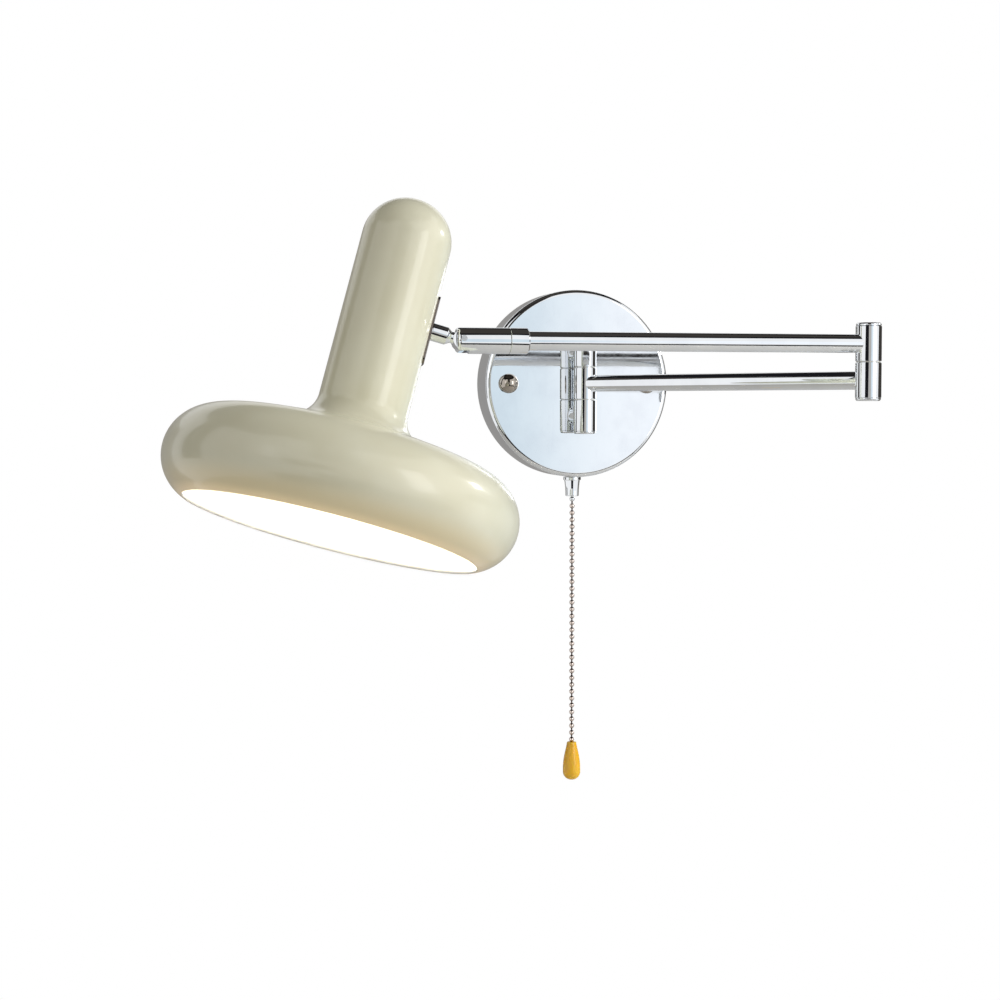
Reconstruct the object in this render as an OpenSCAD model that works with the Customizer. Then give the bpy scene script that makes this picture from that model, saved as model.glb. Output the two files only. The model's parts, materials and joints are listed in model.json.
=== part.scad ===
// Extendable wall lamp: a two-part swing arm on a round wall plate, a swivel head
// with a spun metal shade, and a pull switch with a bead chain.
// Sizes are in millimetres. The origin is the centre of the plate's back, on the wall.
// X runs along the wall, Y runs into the wall and Z is up.

/* [Wall plate] */
// Outer diameter of the round wall plate
plate_d = 116; // [112:1:130]
// Depth of the wall plate, from the wall to its face
plate_depth = 28; // [27:0.5:36]
// Sheet thickness of the wall plate
plate_wall = 1.2; // [0.8:0.1:1.6]
// Radius of the plate's rounded front edge
plate_edge_r = 3; // [2:0.5:5]
// Distance between the two cap nuts
cap_nut_spacing = 88; // [84:1:92]
// Diameter of a cap nut
cap_nut_d = 12; // [10:0.5:13]
// Thread diameter of the studs that hold the plate
stud_d = 4; // [3.5:0.5:5]

/* [Wall bracket] */
// Length of the steel bracket behind the plate
bracket_length = 104; // [100:1:106]
// Width of the bracket
bracket_width = 22; // [20:1:24]
// Thickness of the bracket
bracket_t = 2.5; // [1.5:0.5:3]
// Distance between the two screw slots
slot_pitch = 60; // [58:1:64]
// Width of a screw slot
slot_w = 5; // [4:0.5:6]
// Overall length of a screw slot
slot_length = 16; // [12:1:16]
// Diameter of the cable hole in the middle of the bracket
cable_hole_d = 12; // [8:1:13]

/* [Pivots] */
// Diameter of a pivot barrel
barrel_d = 14; // [13:0.5:16]
// Height of a pivot barrel
barrel_h = 19.2; // [17:0.2:22]
// Distance from the plate's face to the axis of the wall post
post_standoff = 17; // [15:0.5:24]
// Diameter of the stubs between the plate and the post
stub_d = 9; // [7:0.5:10]
// Diameter of the thread that passes through the plate
shank_d = 8; // [7:0.5:8.5]
// Diameter of a pivot shaft
pivot_d = 8; // [7:0.5:8.5]
// Bore of a pivot shaft, for the cable
pivot_bore = 5; // [4:0.5:5.5]
// Outer diameter of a pivot bush
bush_d = 10; // [9.5:0.25:11]
// Thickness of the washer between two barrels
washer_t = 0.4; // [0.3:0.1:1]
// Thickness of a pivot's end cap
end_cap_t = 1.5; // [1.2:0.1:2.5]

/* [Arms] */
// Length of the lower arm, from post axis to elbow axis
arm_length = 200; // [150:5:260]
// Length of the upper arm, from elbow axis to collar
arm_reach = 188; // [150:2:260]
// Outer diameter of the arm tubes
arm_d = 10; // [9:0.5:11]
// Wall thickness of the arm tubes
arm_wall = 1; // [0.8:0.1:1.4]
// Diameter of the cable inside the arms
arm_cable_d = 4; // [3:0.5:4.5]

/* [Swivel] */
// Diameter of the collar and the swivel sleeve
sleeve_d = 13.6; // [13:0.2:15]
// Length of the fixed collar
collar_l = 10; // [8:0.5:14]
// Length of the swivel sleeve
sleeve_l = 28; // [26:0.5:34]
// Diameter of the spigot that the sleeve turns on
spigot_d = 9; // [8:0.25:9.5]
// Distance from the sleeve's end to the knuckle's pins
pin_inset = 3.4; // [3:0.1:4]
// Diameter of the knuckle's pins
pin_d = 3; // [2:0.25:3.5]
// Radius of the knuckle's round tongue
knuckle_r = 5.2; // [4.8:0.1:5.4]
// Width of the knuckle's tongue
tongue_w = 7; // [6:0.2:7.4]
// Radius of the knuckle's neck
neck_r = 3; // [2.6:0.1:3.2]
// Radius of the knuckle's collar against the saddle plate
neck_collar_r = 4.6; // [4.4:0.1:5.4]

/* [Shade] */
// Largest diameter of the shade, across its round rim
shade_d = 183; // [176:1:200]
// Diameter of the shade's opening
opening_d = 153; // [149:1:158]
// Height of the shade, from its opening to its top
shade_h = 178; // [173:1:200]
// Diameter of the shade's stem
stem_d = 46.4; // [46:0.2:50]
// Radius of the round rim's section
rim_r = 24; // [23:0.5:26]
// Rise of the shoulder between rim and stem, in degrees
shoulder_rise = 12; // [8:1:16]
// Radius between the shoulder and the stem
shoulder_fillet = 14; // [6:0.5:16]
// Height of the domed top of the stem
dome_h = 22.5; // [16:0.5:26]
// Sheet thickness of the shade
shade_wall = 1.2; // [0.8:0.1:1.5]
// Distance from the knuckle's pins to the stem's axis
stem_offset = 40.5; // [39.5:0.5:46]
// Height of the knuckle above the shade's opening
joint_height = 114; // [111:1:118]
// Length of the saddle plate
saddle_l = 36; // [30:1:42]
// Width of the saddle plate
saddle_w = 12; // [11:1:20]
// Thickness of the saddle plate
saddle_t = 1; // [0.8:0.1:2]

/* [Lamp holder and bulb] */
// Outer diameter of the lamp holder
holder_d = 28; // [26:0.5:28.5]
// Length of the lamp holder
holder_l = 44; // [42:1:50]
// Distance from the knuckle down to the lamp holder's mouth
holder_drop = 31; // [26:1:33]
// Diameter of the bulb's screw cap
screw_cap_d = 14; // [13:0.2:14.4]
// Diameter of the bulb's globe
bulb_d = 45; // [38:1:46]
// Distance from the holder's mouth to the tip of the bulb
bulb_drop = 58; // [54:1:64]

/* [Pull switch] */
// Width of the switch inside the plate
switch_w = 26; // [22:1:28]
// Depth of the switch, square to the wall
switch_depth = 16; // [14:1:18]
// Height of the switch
switch_h = 24; // [22:1:26]
// Length of the nozzle below the plate
nozzle_l = 12; // [10:1:16]
// Diameter of the nozzle at the plate
nozzle_d = 11; // [10.5:0.5:13]
// Diameter of a bead
bead_d = 3.2; // [2.4:0.2:3.4]
// Distance from one bead to the next
bead_pitch = 4.35; // [3.8:0.05:5]
// Number of beads on the hanging chain
bead_count = 35; // [10:1:50]
// Length of the pull knob
knob_l = 24; // [18:1:32]
// Largest diameter of the pull knob
knob_d = 11; // [9:0.5:14]
// How far the chain pulls out of the switch
pull_travel = 5; // [4:0.5:5.5]

/* [Pose at rest] */
// Angle of the lower arm from the wall
lower_swing = 55; // [30:1:90]
// Angle of the upper arm from the wall, away from it
upper_swing = 0; // [-10:1:30]
// Roll of the head about the upper arm, which turns its opening to the room
head_roll = 9; // [-30:1:60]
// Tilt of the head in the knuckle
head_tilt = 16; // [-30:1:24]

/* [Hidden] */
$fn = 64;

// Clearances
fit_gap = 0.02;      // between pieces that are fastened together
run_gap = 0.05;      // all round a shaft that turns in its bush
face_gap = 0.05;     // between a turning face and its washer
loose_gap = 0.2;     // round a screw in its hole, and beside a tongue in its slot
past = 1;            // how far a cutting shape runs past the face that it cuts

// Standard fasteners
earth_d = 4;
earth_x = -14;
stud_nut_across = 7;
stud_nut_h = 3.2;
shank_nut_across = 12;
shank_nut_h = 4;
flange_t = 1.5;
wire_bore = pivot_bore - 0.6;
plug_l = 4;

// Places that follow from the driving sizes
post_y = -(plate_depth + post_standoff);
barrel_pitch = barrel_h + washer_t + 2 * face_gap;
elbow_x = arm_length * cos(lower_swing);
elbow_y = post_y - arm_length * sin(lower_swing);
plate_inner_r = plate_d / 2 - plate_wall;
face_inner = plate_depth - plate_wall;
shank_end = face_inner - 5;
window_h = 6;
edge_chamfer = 0.4;

// Shade: centre of the rim's section, and of the fillet above the shoulder
stem_r = stem_d / 2;
rim_cx = shade_d / 2 - rim_r;
rim_cz = sqrt(pow(rim_r, 2) - pow(opening_d / 2 - rim_cx, 2));
lip_angle = -asin(rim_cz / rim_r);
shoulder_x = rim_cx + rim_r * sin(shoulder_rise);
shoulder_z = rim_cz + rim_r * cos(shoulder_rise);
fillet_cx = stem_r + shoulder_fillet;
fillet_cz = shoulder_z
    + (shoulder_fillet - (fillet_cx - shoulder_x) * sin(shoulder_rise)) / cos(shoulder_rise);
dome_base = shade_h - dome_h;

// Swivel, measured along the upper arm from the elbow axis
collar_end = arm_reach + collar_l;
sleeve_start = collar_end + 2 * face_gap;
sleeve_end = sleeve_start + sleeve_l;
pin_x = sleeve_end - pin_inset;
bearing_l = 6;
clip_t = 0.7;
clip_start = sleeve_start + bearing_l + 2 * face_gap;
clip_cavity_r = (spigot_d + 1.6) / 2;
spigot_end = clip_start + clip_t + 1.4;
slot_down = -90;
slot_up = 26;

// Head, measured from the knuckle's pins
stem_inner_r = stem_r - shade_wall;
saddle_face = stem_offset - stem_r - saddle_t - fit_gap;
strap_w = 12;
strap_t = 1.5;
strap_bend = 3;
strap_x = stem_offset - sqrt(pow(stem_inner_r, 2) - pow(strap_w / 2, 2)) + 0.1;
nut_face = strap_x + strap_t + fit_gap;
nut_h = 2.5;
knuckle_end = nut_face + nut_h + 0.5;
head_bore = 2.6;
holder_mouth = joint_height - holder_drop;
holder_top = holder_mouth + holder_l;
holder_split = holder_mouth + holder_l / 2;
nipple_d = 10;

// Pull switch: the spring closes to spring_solid at the end of the travel
switch_y = -plate_depth / 2;
switch_rise = 4.8;
switch_bottom = switch_rise - plate_inner_r;
switch_top = switch_bottom + switch_h;
switch_wall = 2;
bushing_d = 8.4;
bushing_l = 4;
chain_bore = bead_d + 1;
nozzle_top = -plate_d / 2 - 0.25;
nozzle_end = nozzle_top - nozzle_l;
spring_solid = 6;
plunger_h = switch_h - 2 * switch_wall - loose_gap - pull_travel - spring_solid;
plunger_bottom = switch_top - switch_wall - loose_gap - plunger_h;
chain_rod_d = 0.9;
rod_hole_d = chain_rod_d + 0.1;
rod_depth = 3;
chain_pivot_z = nozzle_end - bead_d / 2 - 0.3;
inner_beads = floor((plunger_bottom - bead_d / 2 - chain_pivot_z) / bead_pitch) + 1;
knob_top = chain_pivot_z - bead_pitch * bead_count - bead_d / 2;

// Points of an arc about c, in degrees, in n steps
function arc(c, r, a0, a1, n) =
    [for (i = [0 : n]) let (a = a0 + (a1 - a0) * i / n) [c[0] + r * cos(a), c[1] + r * sin(a)]];
// Points of a smooth curve from a to d that leaves towards b and arrives from c
function bend(a, b, c, d, n = 8) =
    [for (i = [0 : n]) let (t = i / n)
        a * pow(1 - t, 3) + b * 3 * t * pow(1 - t, 2) + c * 3 * pow(t, 2) * (1 - t) + d * pow(t, 3)];
// A point of the slot's outline, turned by angle a
function turned(p, a) = [p[0] * cos(a) - p[1] * sin(a), p[0] * sin(a) + p[1] * cos(a)];

// Local Z points from the wall into the room
module off_wall() {
    rotate([90, 0, 0]) children();
}

// Local Z points along X
module along_x() {
    rotate([0, 90, 0]) children();
}

// Frame of the wall post
module post_frame() {
    translate([0, post_y, 0]) children();
}

// Frame of the lower arm: local X runs from the post to the elbow
module lower_frame() {
    post_frame() rotate([0, 0, -lower_swing]) children();
}

// Frame of the upper arm: local X runs from the elbow to the head
module upper_frame() {
    translate([elbow_x, elbow_y, barrel_pitch]) rotate([0, 0, 180 + upper_swing]) children();
}

// Frame of the swivel sleeve, turned about the upper arm
module swivel_frame() {
    upper_frame() rotate([head_roll, 0, 0]) children();
}

// Frame of the head: the origin is on the knuckle's pins and local X runs to the stem
module head_frame() {
    swivel_frame() translate([pin_x, 0, 0]) rotate([0, -head_tilt, 0]) children();
}

// Frame of the shade: the origin is the centre of the opening and local Z runs up the stem
module shade_frame() {
    head_frame() translate([stem_offset, 0, -joint_height]) children();
}

// A tube or ring standing on the XY plane
module ring(outer_d, inner_d, h) {
    difference() {
        cylinder(d = outer_d, h = h);
        translate([0, 0, -past]) cylinder(d = inner_d, h = h + 2 * past);
    }
}

// A hexagon nut standing on the XY plane
module hex_nut(across, thread_d, h) {
    difference() {
        cylinder(d = across / cos(30), h = h, $fn = 6);
        translate([0, 0, -past]) cylinder(d = thread_d + 2 * fit_gap, h = h + 2 * past);
    }
}

// A flat rounded plate standing on the XY plane
module rounded_plate(l, w, r, h) {
    linear_extrude(h) {
        square([l - 2 * r, w], center = true);
        square([l, w - 2 * r], center = true);
        for (sx = [-1, 1], sy = [-1, 1]) {
            translate([sx * (l / 2 - r), sy * (w / 2 - r)]) circle(r);
        }
    }
}

// A barrel centred on the origin, with its two edges chamfered
module barrel_body() {
    r = barrel_d / 2;
    h = barrel_h / 2;
    c = edge_chamfer;
    rotate_extrude() polygon([[0, -h], [r - c, -h], [r, c - h], [r, h - c], [r - c, h], [0, h]]);
}

// A round wire through a list of points: ref is a direction that the wire never follows
module wire(points, d, ref = [1, -1, 1], sides = 8) {
    last = len(points) - 1;
    dirs = [for (i = [0 : last]) points[min(i + 1, last)] - points[max(i - 1, 0)]];
    rings = [for (i = [0 : last])
        let (t = dirs[i] / norm(dirs[i]), u = cross(t, ref), a = u / norm(u), b = cross(t, a))
            for (k = [0 : sides - 1])
                points[i] + (a * cos(360 * k / sides) + b * sin(360 * k / sides)) * d / 2];
    walls = [for (i = [0 : last - 1], k = [0 : sides - 1])
        let (p = i * sides + k, q = i * sides + (k + 1) % sides)
            for (f = [[p, p + sides, q + sides], [p, q + sides, q]]) f];
    polyhedron(rings, concat(
        walls,
        [[for (k = [0 : sides - 1]) k]],
        [[for (k = [sides - 1 : -1 : 0]) last * sides + k]]));
}

// Wall bracket and plate

module mounting_bracket() {
    color("gainsboro") off_wall() difference() {
        rounded_plate(bracket_length, bracket_width, 4, bracket_t);
        for (s = [-1, 1]) {
            translate([s * slot_pitch / 2, 0, -past]) linear_extrude(bracket_t + 2 * past) {
                square([slot_length - slot_w, slot_w], center = true);
                for (e = [-1, 1]) translate([e * (slot_length - slot_w) / 2, 0]) circle(d = slot_w);
            }
            translate([s * cap_nut_spacing / 2, 0, -past])
                cylinder(d = stud_d + 2 * fit_gap, h = bracket_t + 2 * past);
        }
        translate([0, 0, -past]) cylinder(d = cable_hole_d, h = bracket_t + 2 * past);
        translate([earth_x, 0, -past]) cylinder(d = earth_d + 2 * fit_gap, h = bracket_t + 2 * past);
    }
}

module bracket_studs() {
    color("silver") off_wall() for (s = [-1, 1]) {
        translate([s * cap_nut_spacing / 2, 0, 0]) cylinder(d = stud_d, h = plate_depth + 4);
    }
}

module bracket_nuts() {
    color("silver") off_wall() for (s = [-1, 1]) {
        translate([s * cap_nut_spacing / 2, 0, bracket_t + fit_gap])
            hex_nut(stud_nut_across, stud_d, stud_nut_h);
    }
}

// Half section of the plate: the radius runs along X and the depth along Y
module plate_section(inset, back) {
    r = plate_d / 2 - inset;
    face = plate_depth - inset;
    e = plate_edge_r - inset;
    polygon(concat([[0, back], [r, back]], arc([r - e, face - e], e, 0, 90, 8), [[0, face]]));
}

module wall_plate() {
    color("lightsteelblue") off_wall() difference() {
        rotate_extrude($fn = 128) plate_section(0, 0);
        rotate_extrude($fn = 128) plate_section(plate_wall, -past);
        for (s = [-1, 1]) {
            translate([s * cap_nut_spacing / 2, 0, 0])
                cylinder(d = stud_d + 2 * loose_gap, h = plate_depth + past);
            translate([0, s * barrel_pitch, 0])
                cylinder(d = shank_d + 2 * fit_gap, h = plate_depth + past);
        }
        translate([0, 0, -switch_y]) rotate([90, 0, 0])
            cylinder(d = bushing_d + 2 * loose_gap, h = plate_d);
    }
}

module cap_nuts() {
    r = cap_nut_d / 2;
    skirt = 1.6;
    color("silver") off_wall() for (s = [-1, 1]) {
        translate([s * cap_nut_spacing / 2, 0, plate_depth + fit_gap]) difference() {
            union() {
                cylinder(r = r, h = skirt);
                intersection() {
                    translate([0, 0, skirt - 0.6]) sphere(r);
                    cylinder(r = r, h = skirt + r);
                }
            }
            translate([0, 0, -past]) cylinder(d = stud_d + 2 * fit_gap, h = 4.2 + past);
        }
    }
}

// Wall post

module post_mount(side, hollow) {
    difference() {
        translate([0, 0, side * barrel_pitch]) union() {
            barrel_body();
            rotate([-90, 0, 0]) {
                cylinder(d = stub_d, h = post_standoff - fit_gap);
                translate([0, 0, post_standoff - flange_t])
                    cylinder(d = stub_d + 4, h = flange_t - fit_gap);
                cylinder(d = shank_d, h = post_standoff + plate_depth - shank_end);
            }
        }
        translate([0, 0, side * barrel_pitch - barrel_h])
            cylinder(d = pivot_d + 2 * fit_gap, h = 2 * barrel_h);
        if (hollow) {
            translate([0, 0, side * barrel_pitch]) rotate([-90, 0, 0])
                cylinder(d = wire_bore, h = post_standoff + plate_depth);
        }
    }
}

module upper_post_mount() {
    color("silver") post_frame() post_mount(1, false);
}

module lower_post_mount() {
    color("silver") post_frame() post_mount(-1, true);
}

module post_nuts() {
    color("silver") off_wall() for (s = [-1, 1]) {
        translate([0, s * barrel_pitch, face_inner - shank_nut_h - fit_gap])
            hex_nut(shank_nut_across, shank_d, shank_nut_h);
    }
}

module post_shaft() {
    half = barrel_pitch + barrel_h / 2;
    color("darkgray") post_frame() difference() {
        translate([0, 0, -half]) ring(pivot_d, pivot_bore, 2 * half);
        translate([-pivot_d, -2 * pivot_d + 1.2, -window_h / 2])
            cube([2 * pivot_d, 2 * pivot_d, window_h]);
        translate([0, 0, -barrel_pitch]) rotate([-90, 0, 0])
            cylinder(d = wire_bore, h = pivot_d);
    }
}

// An end cap with a rounded edge: it stands on the XY plane and its plug hangs below
module end_cap() {
    r = barrel_d / 2;
    e = end_cap_t - 0.3;
    rotate_extrude()
        polygon(concat([[0, 0], [r - 0.2, 0]], arc([r - 0.2 - e, 0.3], e, 0, 90, 8), [[0, end_cap_t]]));
    translate([0, 0, -plug_l]) cylinder(d = pivot_bore - 2 * fit_gap, h = plug_l + end_cap_t / 2);
}

module post_end_caps() {
    half = barrel_pitch + barrel_h / 2 + fit_gap;
    color("silver") post_frame() for (s = [0, 1]) {
        mirror([0, 0, s]) translate([0, 0, half]) end_cap();
    }
}

module post_washers() {
    color("white") post_frame() for (z = [barrel_h / 2 + face_gap, -barrel_pitch + barrel_h / 2 + face_gap]) {
        translate([0, 0, z]) ring(barrel_d - 1, pivot_d + 2 * run_gap, washer_t);
    }
}

// What the plate hides

block_x = 14.5;
block_w = 12;
block_h = 22;
block_t = 11.5;
block_front = bracket_t + fit_gap + block_t;
terminals = [-7, 0, 7];
conductor_d = 1.6;

module terminal_block() {
    color("ivory") off_wall() difference() {
        translate([block_x - block_w / 2, -block_h / 2, bracket_t + fit_gap])
            cube([block_w, block_h, block_t]);
        for (z = terminals) {
            translate([block_x, z, bracket_t + 3]) cylinder(d = 4, h = block_t);
            translate([block_x - block_w, z, bracket_t + 5.5]) along_x() cylinder(d = 2, h = block_w);
        }
    }
}

module terminal_screws() {
    color("gold") off_wall() for (z = terminals) {
        translate([block_x, z, block_front - 5]) difference() {
            cylinder(d = 4 - 2 * fit_gap, h = 4.2);
            translate([-3, -0.3, 3.4]) cube([6, 0.6, 2]);
        }
    }
}

module earth_screw() {
    color("gold") off_wall() translate([earth_x, 0, 0]) difference() {
        union() {
            cylinder(d = earth_d, h = bracket_t + past);
            translate([0, 0, bracket_t + fit_gap]) cylinder(d = 2 * earth_d, h = 2.6);
        }
        translate([-earth_d, -0.4, bracket_t + 1.8]) cube([2 * earth_d, 0.8, 2]);
    }
}

// Where the wires enter the lower stub
stub_entry = -shank_end + 0.4;

module live_wires() {
    color("saddlebrown") {
        wire(bend([block_x - block_w / 2 - 0.1, -bracket_t - 5.5, 0], [2, -12, 0],
                  [-6, switch_y, -16], [-6, switch_y, switch_top + 0.1]), conductor_d);
        wire(bend([-1.1, stub_entry, -barrel_pitch], [-1.1, -15, -barrel_pitch],
                  [-1, switch_y, -20], [0, switch_y, switch_top + 0.1]), conductor_d);
    }
}

module neutral_wire() {
    color("royalblue")
        wire(bend([block_x - block_w / 2 - 0.1, -bracket_t - 5.5, -7], [5, -9, -7],
                  [1.1, -10, -barrel_pitch], [1.1, stub_entry, -barrel_pitch]), conductor_d);
}

module earth_wire() {
    color("yellowgreen")
        wire(bend([earth_x, -bracket_t - 3.6, 0], [earth_x, -12, 2],
                  [-13, -16, barrel_pitch], [-7.9, -face_inner + 2, barrel_pitch]),
             conductor_d, [1, 1, 1]);
}

// Pull switch

switch_floor = switch_bottom + switch_wall;
switch_cover_t = 1.5;
cavity_w = switch_w - 2 * switch_wall - 4;
cavity_depth = switch_depth - switch_wall - switch_cover_t;

module switch_housing() {
    front = switch_y - switch_depth / 2;
    color("whitesmoke") difference() {
        union() {
            translate([-switch_w / 2, front, switch_bottom])
                cube([switch_w, switch_depth - switch_cover_t, switch_h]);
            translate([0, switch_y, -plate_d / 2 - bushing_l])
                cylinder(d = bushing_d, h = switch_bottom + plate_d / 2 + bushing_l + past);
        }
        translate([-cavity_w / 2, front + switch_wall, switch_floor])
            cube([cavity_w, switch_depth, switch_h - 2 * switch_wall]);
        translate([0, switch_y, -plate_d / 2 - bushing_l - past]) cylinder(d = chain_bore, h = switch_h);
    }
}

module switch_cover() {
    color("white")
        translate([-switch_w / 2, switch_y + switch_depth / 2 - switch_cover_t + fit_gap, switch_bottom])
            cube([switch_w, switch_cover_t, switch_h]);
}

module switch_contacts() {
    color("goldenrod") for (s = [-1, 1]) {
        translate([s * (cavity_w / 2 - 0.4) - 0.3, switch_y - 2, switch_floor + 1])
            cube([0.6, 4, switch_h - 2 * switch_wall - 1 - fit_gap]);
    }
}

module switch_nozzle() {
    r0 = nozzle_d / 2;
    r1 = r0 * 0.76;
    bell = nozzle_l - 2;
    color("silver") translate([0, switch_y, nozzle_end]) difference() {
        rotate_extrude() polygon(concat(
            [[0, 0], [r1 - 0.5, 0], [r1, 0.5]],
            [for (i = [1 : 8]) let (t = i / 8) [r1 + (r0 - 0.6 - r1) * t * t, 0.5 + (bell - 0.5) * t]],
            [[r0, bell], [r0, nozzle_l], [0, nozzle_l]]));
        translate([0, 0, -past]) cylinder(d = chain_bore, h = nozzle_l + 2 * past);
        translate([0, 0, nozzle_l - bushing_l])
            cylinder(d = bushing_d + 2 * fit_gap, h = bushing_l + past);
    }
}

module return_spring() {
    color("gray") translate([0, switch_y, switch_floor + fit_gap])
        ring(chain_bore + 2.4, chain_bore + 0.8, plunger_bottom - switch_floor - 2 * fit_gap);
}

module switch_plunger() {
    w = cavity_w - 4;
    depth = cavity_depth - 0.6;
    color("white") difference() {
        translate([-w / 2, switch_y - switch_depth / 2 + switch_wall + 0.3, plunger_bottom])
            cube([w, depth, plunger_h]);
        translate([0, switch_y, plunger_bottom - past]) cylinder(d = rod_hole_d, h = rod_depth + past);
    }
}

module bead_row(count) {
    for (i = [0 : count - 1]) translate([0, 0, i * bead_pitch]) sphere(d = bead_d, $fn = 24);
}

module chain_top() {
    color("silver") translate([0, switch_y, chain_pivot_z]) {
        bead_row(inner_beads);
        cylinder(d = chain_rod_d, h = plunger_bottom - chain_pivot_z + rod_depth - 0.1, $fn = 24);
    }
}

module bead_chain() {
    color("silver") translate([0, switch_y, 0]) {
        translate([0, 0, chain_pivot_z - bead_count * bead_pitch]) bead_row(bead_count);
        translate([0, 0, knob_top - rod_depth + past])
            cylinder(d = chain_rod_d, $fn = 24,
                     h = chain_pivot_z - bead_d / 2 - fit_gap - knob_top + rod_depth - past);
    }
}

module pull_knob() {
    top_r = knob_d * 0.27;
    wide = knob_d / 2;
    round_h = wide * 0.95;
    tip = 0.35;
    color("orange") translate([0, switch_y, knob_top - fit_gap - knob_l]) difference() {
        rotate_extrude() polygon(concat(
            [[0, 0]],
            [for (i = [1 : 10]) let (a = 9 * i) [wide * pow(sin(a), 0.9), round_h * (1 - cos(a))]],
            [for (i = [1 : 10]) let (t = i / 10)
                [wide + (top_r - wide) * (1 - cos(180 * t)) / 2 * t, round_h + (knob_l - tip - round_h) * t]],
            [[top_r - tip, knob_l], [0, knob_l]]));
        translate([0, 0, knob_l - rod_depth]) cylinder(d = rod_hole_d, h = rod_depth + past, $fn = 24);
    }
}

// Lower arm

// A barrel that an arm joins: the cable's hole faces towards, 1 for +X or -1 for -X
module arm_barrel(bore, towards) {
    difference() {
        barrel_body();
        translate([0, 0, -barrel_h]) cylinder(d = bore, h = 2 * barrel_h);
        along_x() mirror([0, 0, (1 - towards) / 2]) cylinder(d = pivot_bore, h = barrel_d);
    }
}

// Two bushes, one at each end of a barrel
module bush_pair() {
    l = (barrel_h - window_h) / 2;
    for (s = [0, 1]) mirror([0, 0, s]) {
        translate([0, 0, window_h / 2]) ring(bush_d - 2 * fit_gap, pivot_d + 2 * run_gap, l);
    }
}

// A round tube along X whose ends are coped to fit the barrels
module coped_tube(l, coped_end) {
    difference() {
        along_x() ring(arm_d, arm_d - 2 * arm_wall, l);
        for (x = coped_end ? [0, l] : [0]) {
            translate([x, 0, -arm_d]) cylinder(d = barrel_d + 2 * fit_gap, h = 2 * arm_d);
        }
    }
}

cable_drop = arm_d / 2 - arm_wall - arm_cable_d / 2 - fit_gap;

module lower_post_barrel() {
    color("silver") lower_frame() arm_barrel(bush_d, 1);
}

module post_bushes() {
    color("darkgoldenrod") lower_frame() bush_pair();
}

module lower_arm_tube() {
    color("silver") lower_frame() coped_tube(arm_length, true);
}

module lower_elbow_barrel() {
    color("silver") lower_frame() translate([arm_length, 0, 0])
        arm_barrel(pivot_d + 2 * fit_gap, -1);
}

module elbow_shaft() {
    top = barrel_pitch + barrel_h / 2 + 2 * face_gap;
    color("darkgray") lower_frame() translate([arm_length, 0, 0]) difference() {
        translate([0, 0, -barrel_h / 2]) ring(pivot_d, pivot_bore, top + barrel_h / 2);
        translate([-1.8, -pivot_d, barrel_pitch - window_h / 2])
            cube([2 * pivot_d, 2 * pivot_d, window_h]);
        along_x() mirror([0, 0, 1]) cylinder(d = wire_bore, h = pivot_d);
    }
}

module elbow_end_caps() {
    color("silver") lower_frame() translate([arm_length, 0, 0]) {
        translate([0, 0, barrel_pitch + barrel_h / 2 + 2 * face_gap + fit_gap]) end_cap();
        mirror([0, 0, 1]) translate([0, 0, barrel_h / 2 + fit_gap]) end_cap();
    }
}

module elbow_washer() {
    color("white") lower_frame() translate([arm_length, 0, barrel_h / 2 + face_gap])
        ring(barrel_d - 1, pivot_d + 2 * fit_gap, washer_t);
}

module lower_arm_cable() {
    start = barrel_d / 2 + 1;
    color("dimgray") lower_frame() translate([start, 0, -cable_drop]) along_x()
        cylinder(d = arm_cable_d, h = arm_length - 2 * start);
}

// Upper arm

module upper_elbow_barrel() {
    color("silver") upper_frame() arm_barrel(bush_d, 1);
}

module elbow_bushes() {
    color("darkgoldenrod") upper_frame() bush_pair();
}

module upper_arm_tube() {
    color("silver") upper_frame() coped_tube(collar_end - 2 - fit_gap, false);
}

module arm_end_collar() {
    r = sleeve_d / 2;
    color("silver") upper_frame() along_x() difference() {
        rotate_extrude() polygon([
            [0, arm_reach], [r - 0.8, arm_reach], [r, arm_reach + 0.8],
            [r, collar_end - 0.2], [r - 0.2, collar_end], [spigot_d / 2, collar_end],
            [spigot_d / 2, clip_start - fit_gap], [spigot_d / 2 - 0.6, clip_start - fit_gap],
            [spigot_d / 2 - 0.6, clip_start + clip_t + fit_gap],
            [spigot_d / 2, clip_start + clip_t + fit_gap], [spigot_d / 2, spigot_end],
            [0, spigot_end]]);
        translate([0, 0, arm_reach - past]) cylinder(d = arm_d + 2 * fit_gap, h = collar_l - 2 + past);
        translate([0, 0, arm_reach]) cylinder(d = pivot_bore, h = 2 * collar_l);
    }
}

module spigot_clip() {
    color("dimgray") upper_frame() along_x() translate([0, 0, clip_start]) difference() {
        ring(2 * clip_cavity_r - 0.4, spigot_d - 1.2 + 2 * fit_gap, clip_t);
        translate([0, -1.5, -past]) cube([spigot_d, 3, clip_t + 2 * past]);
    }
}

module upper_arm_cable() {
    start = barrel_d / 2 + 1;
    color("dimgray") upper_frame() translate([start, 0, -cable_drop]) along_x()
        cylinder(d = arm_cable_d, h = collar_end - 3 - start);
}

// Swivel sleeve and knuckle pins

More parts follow.
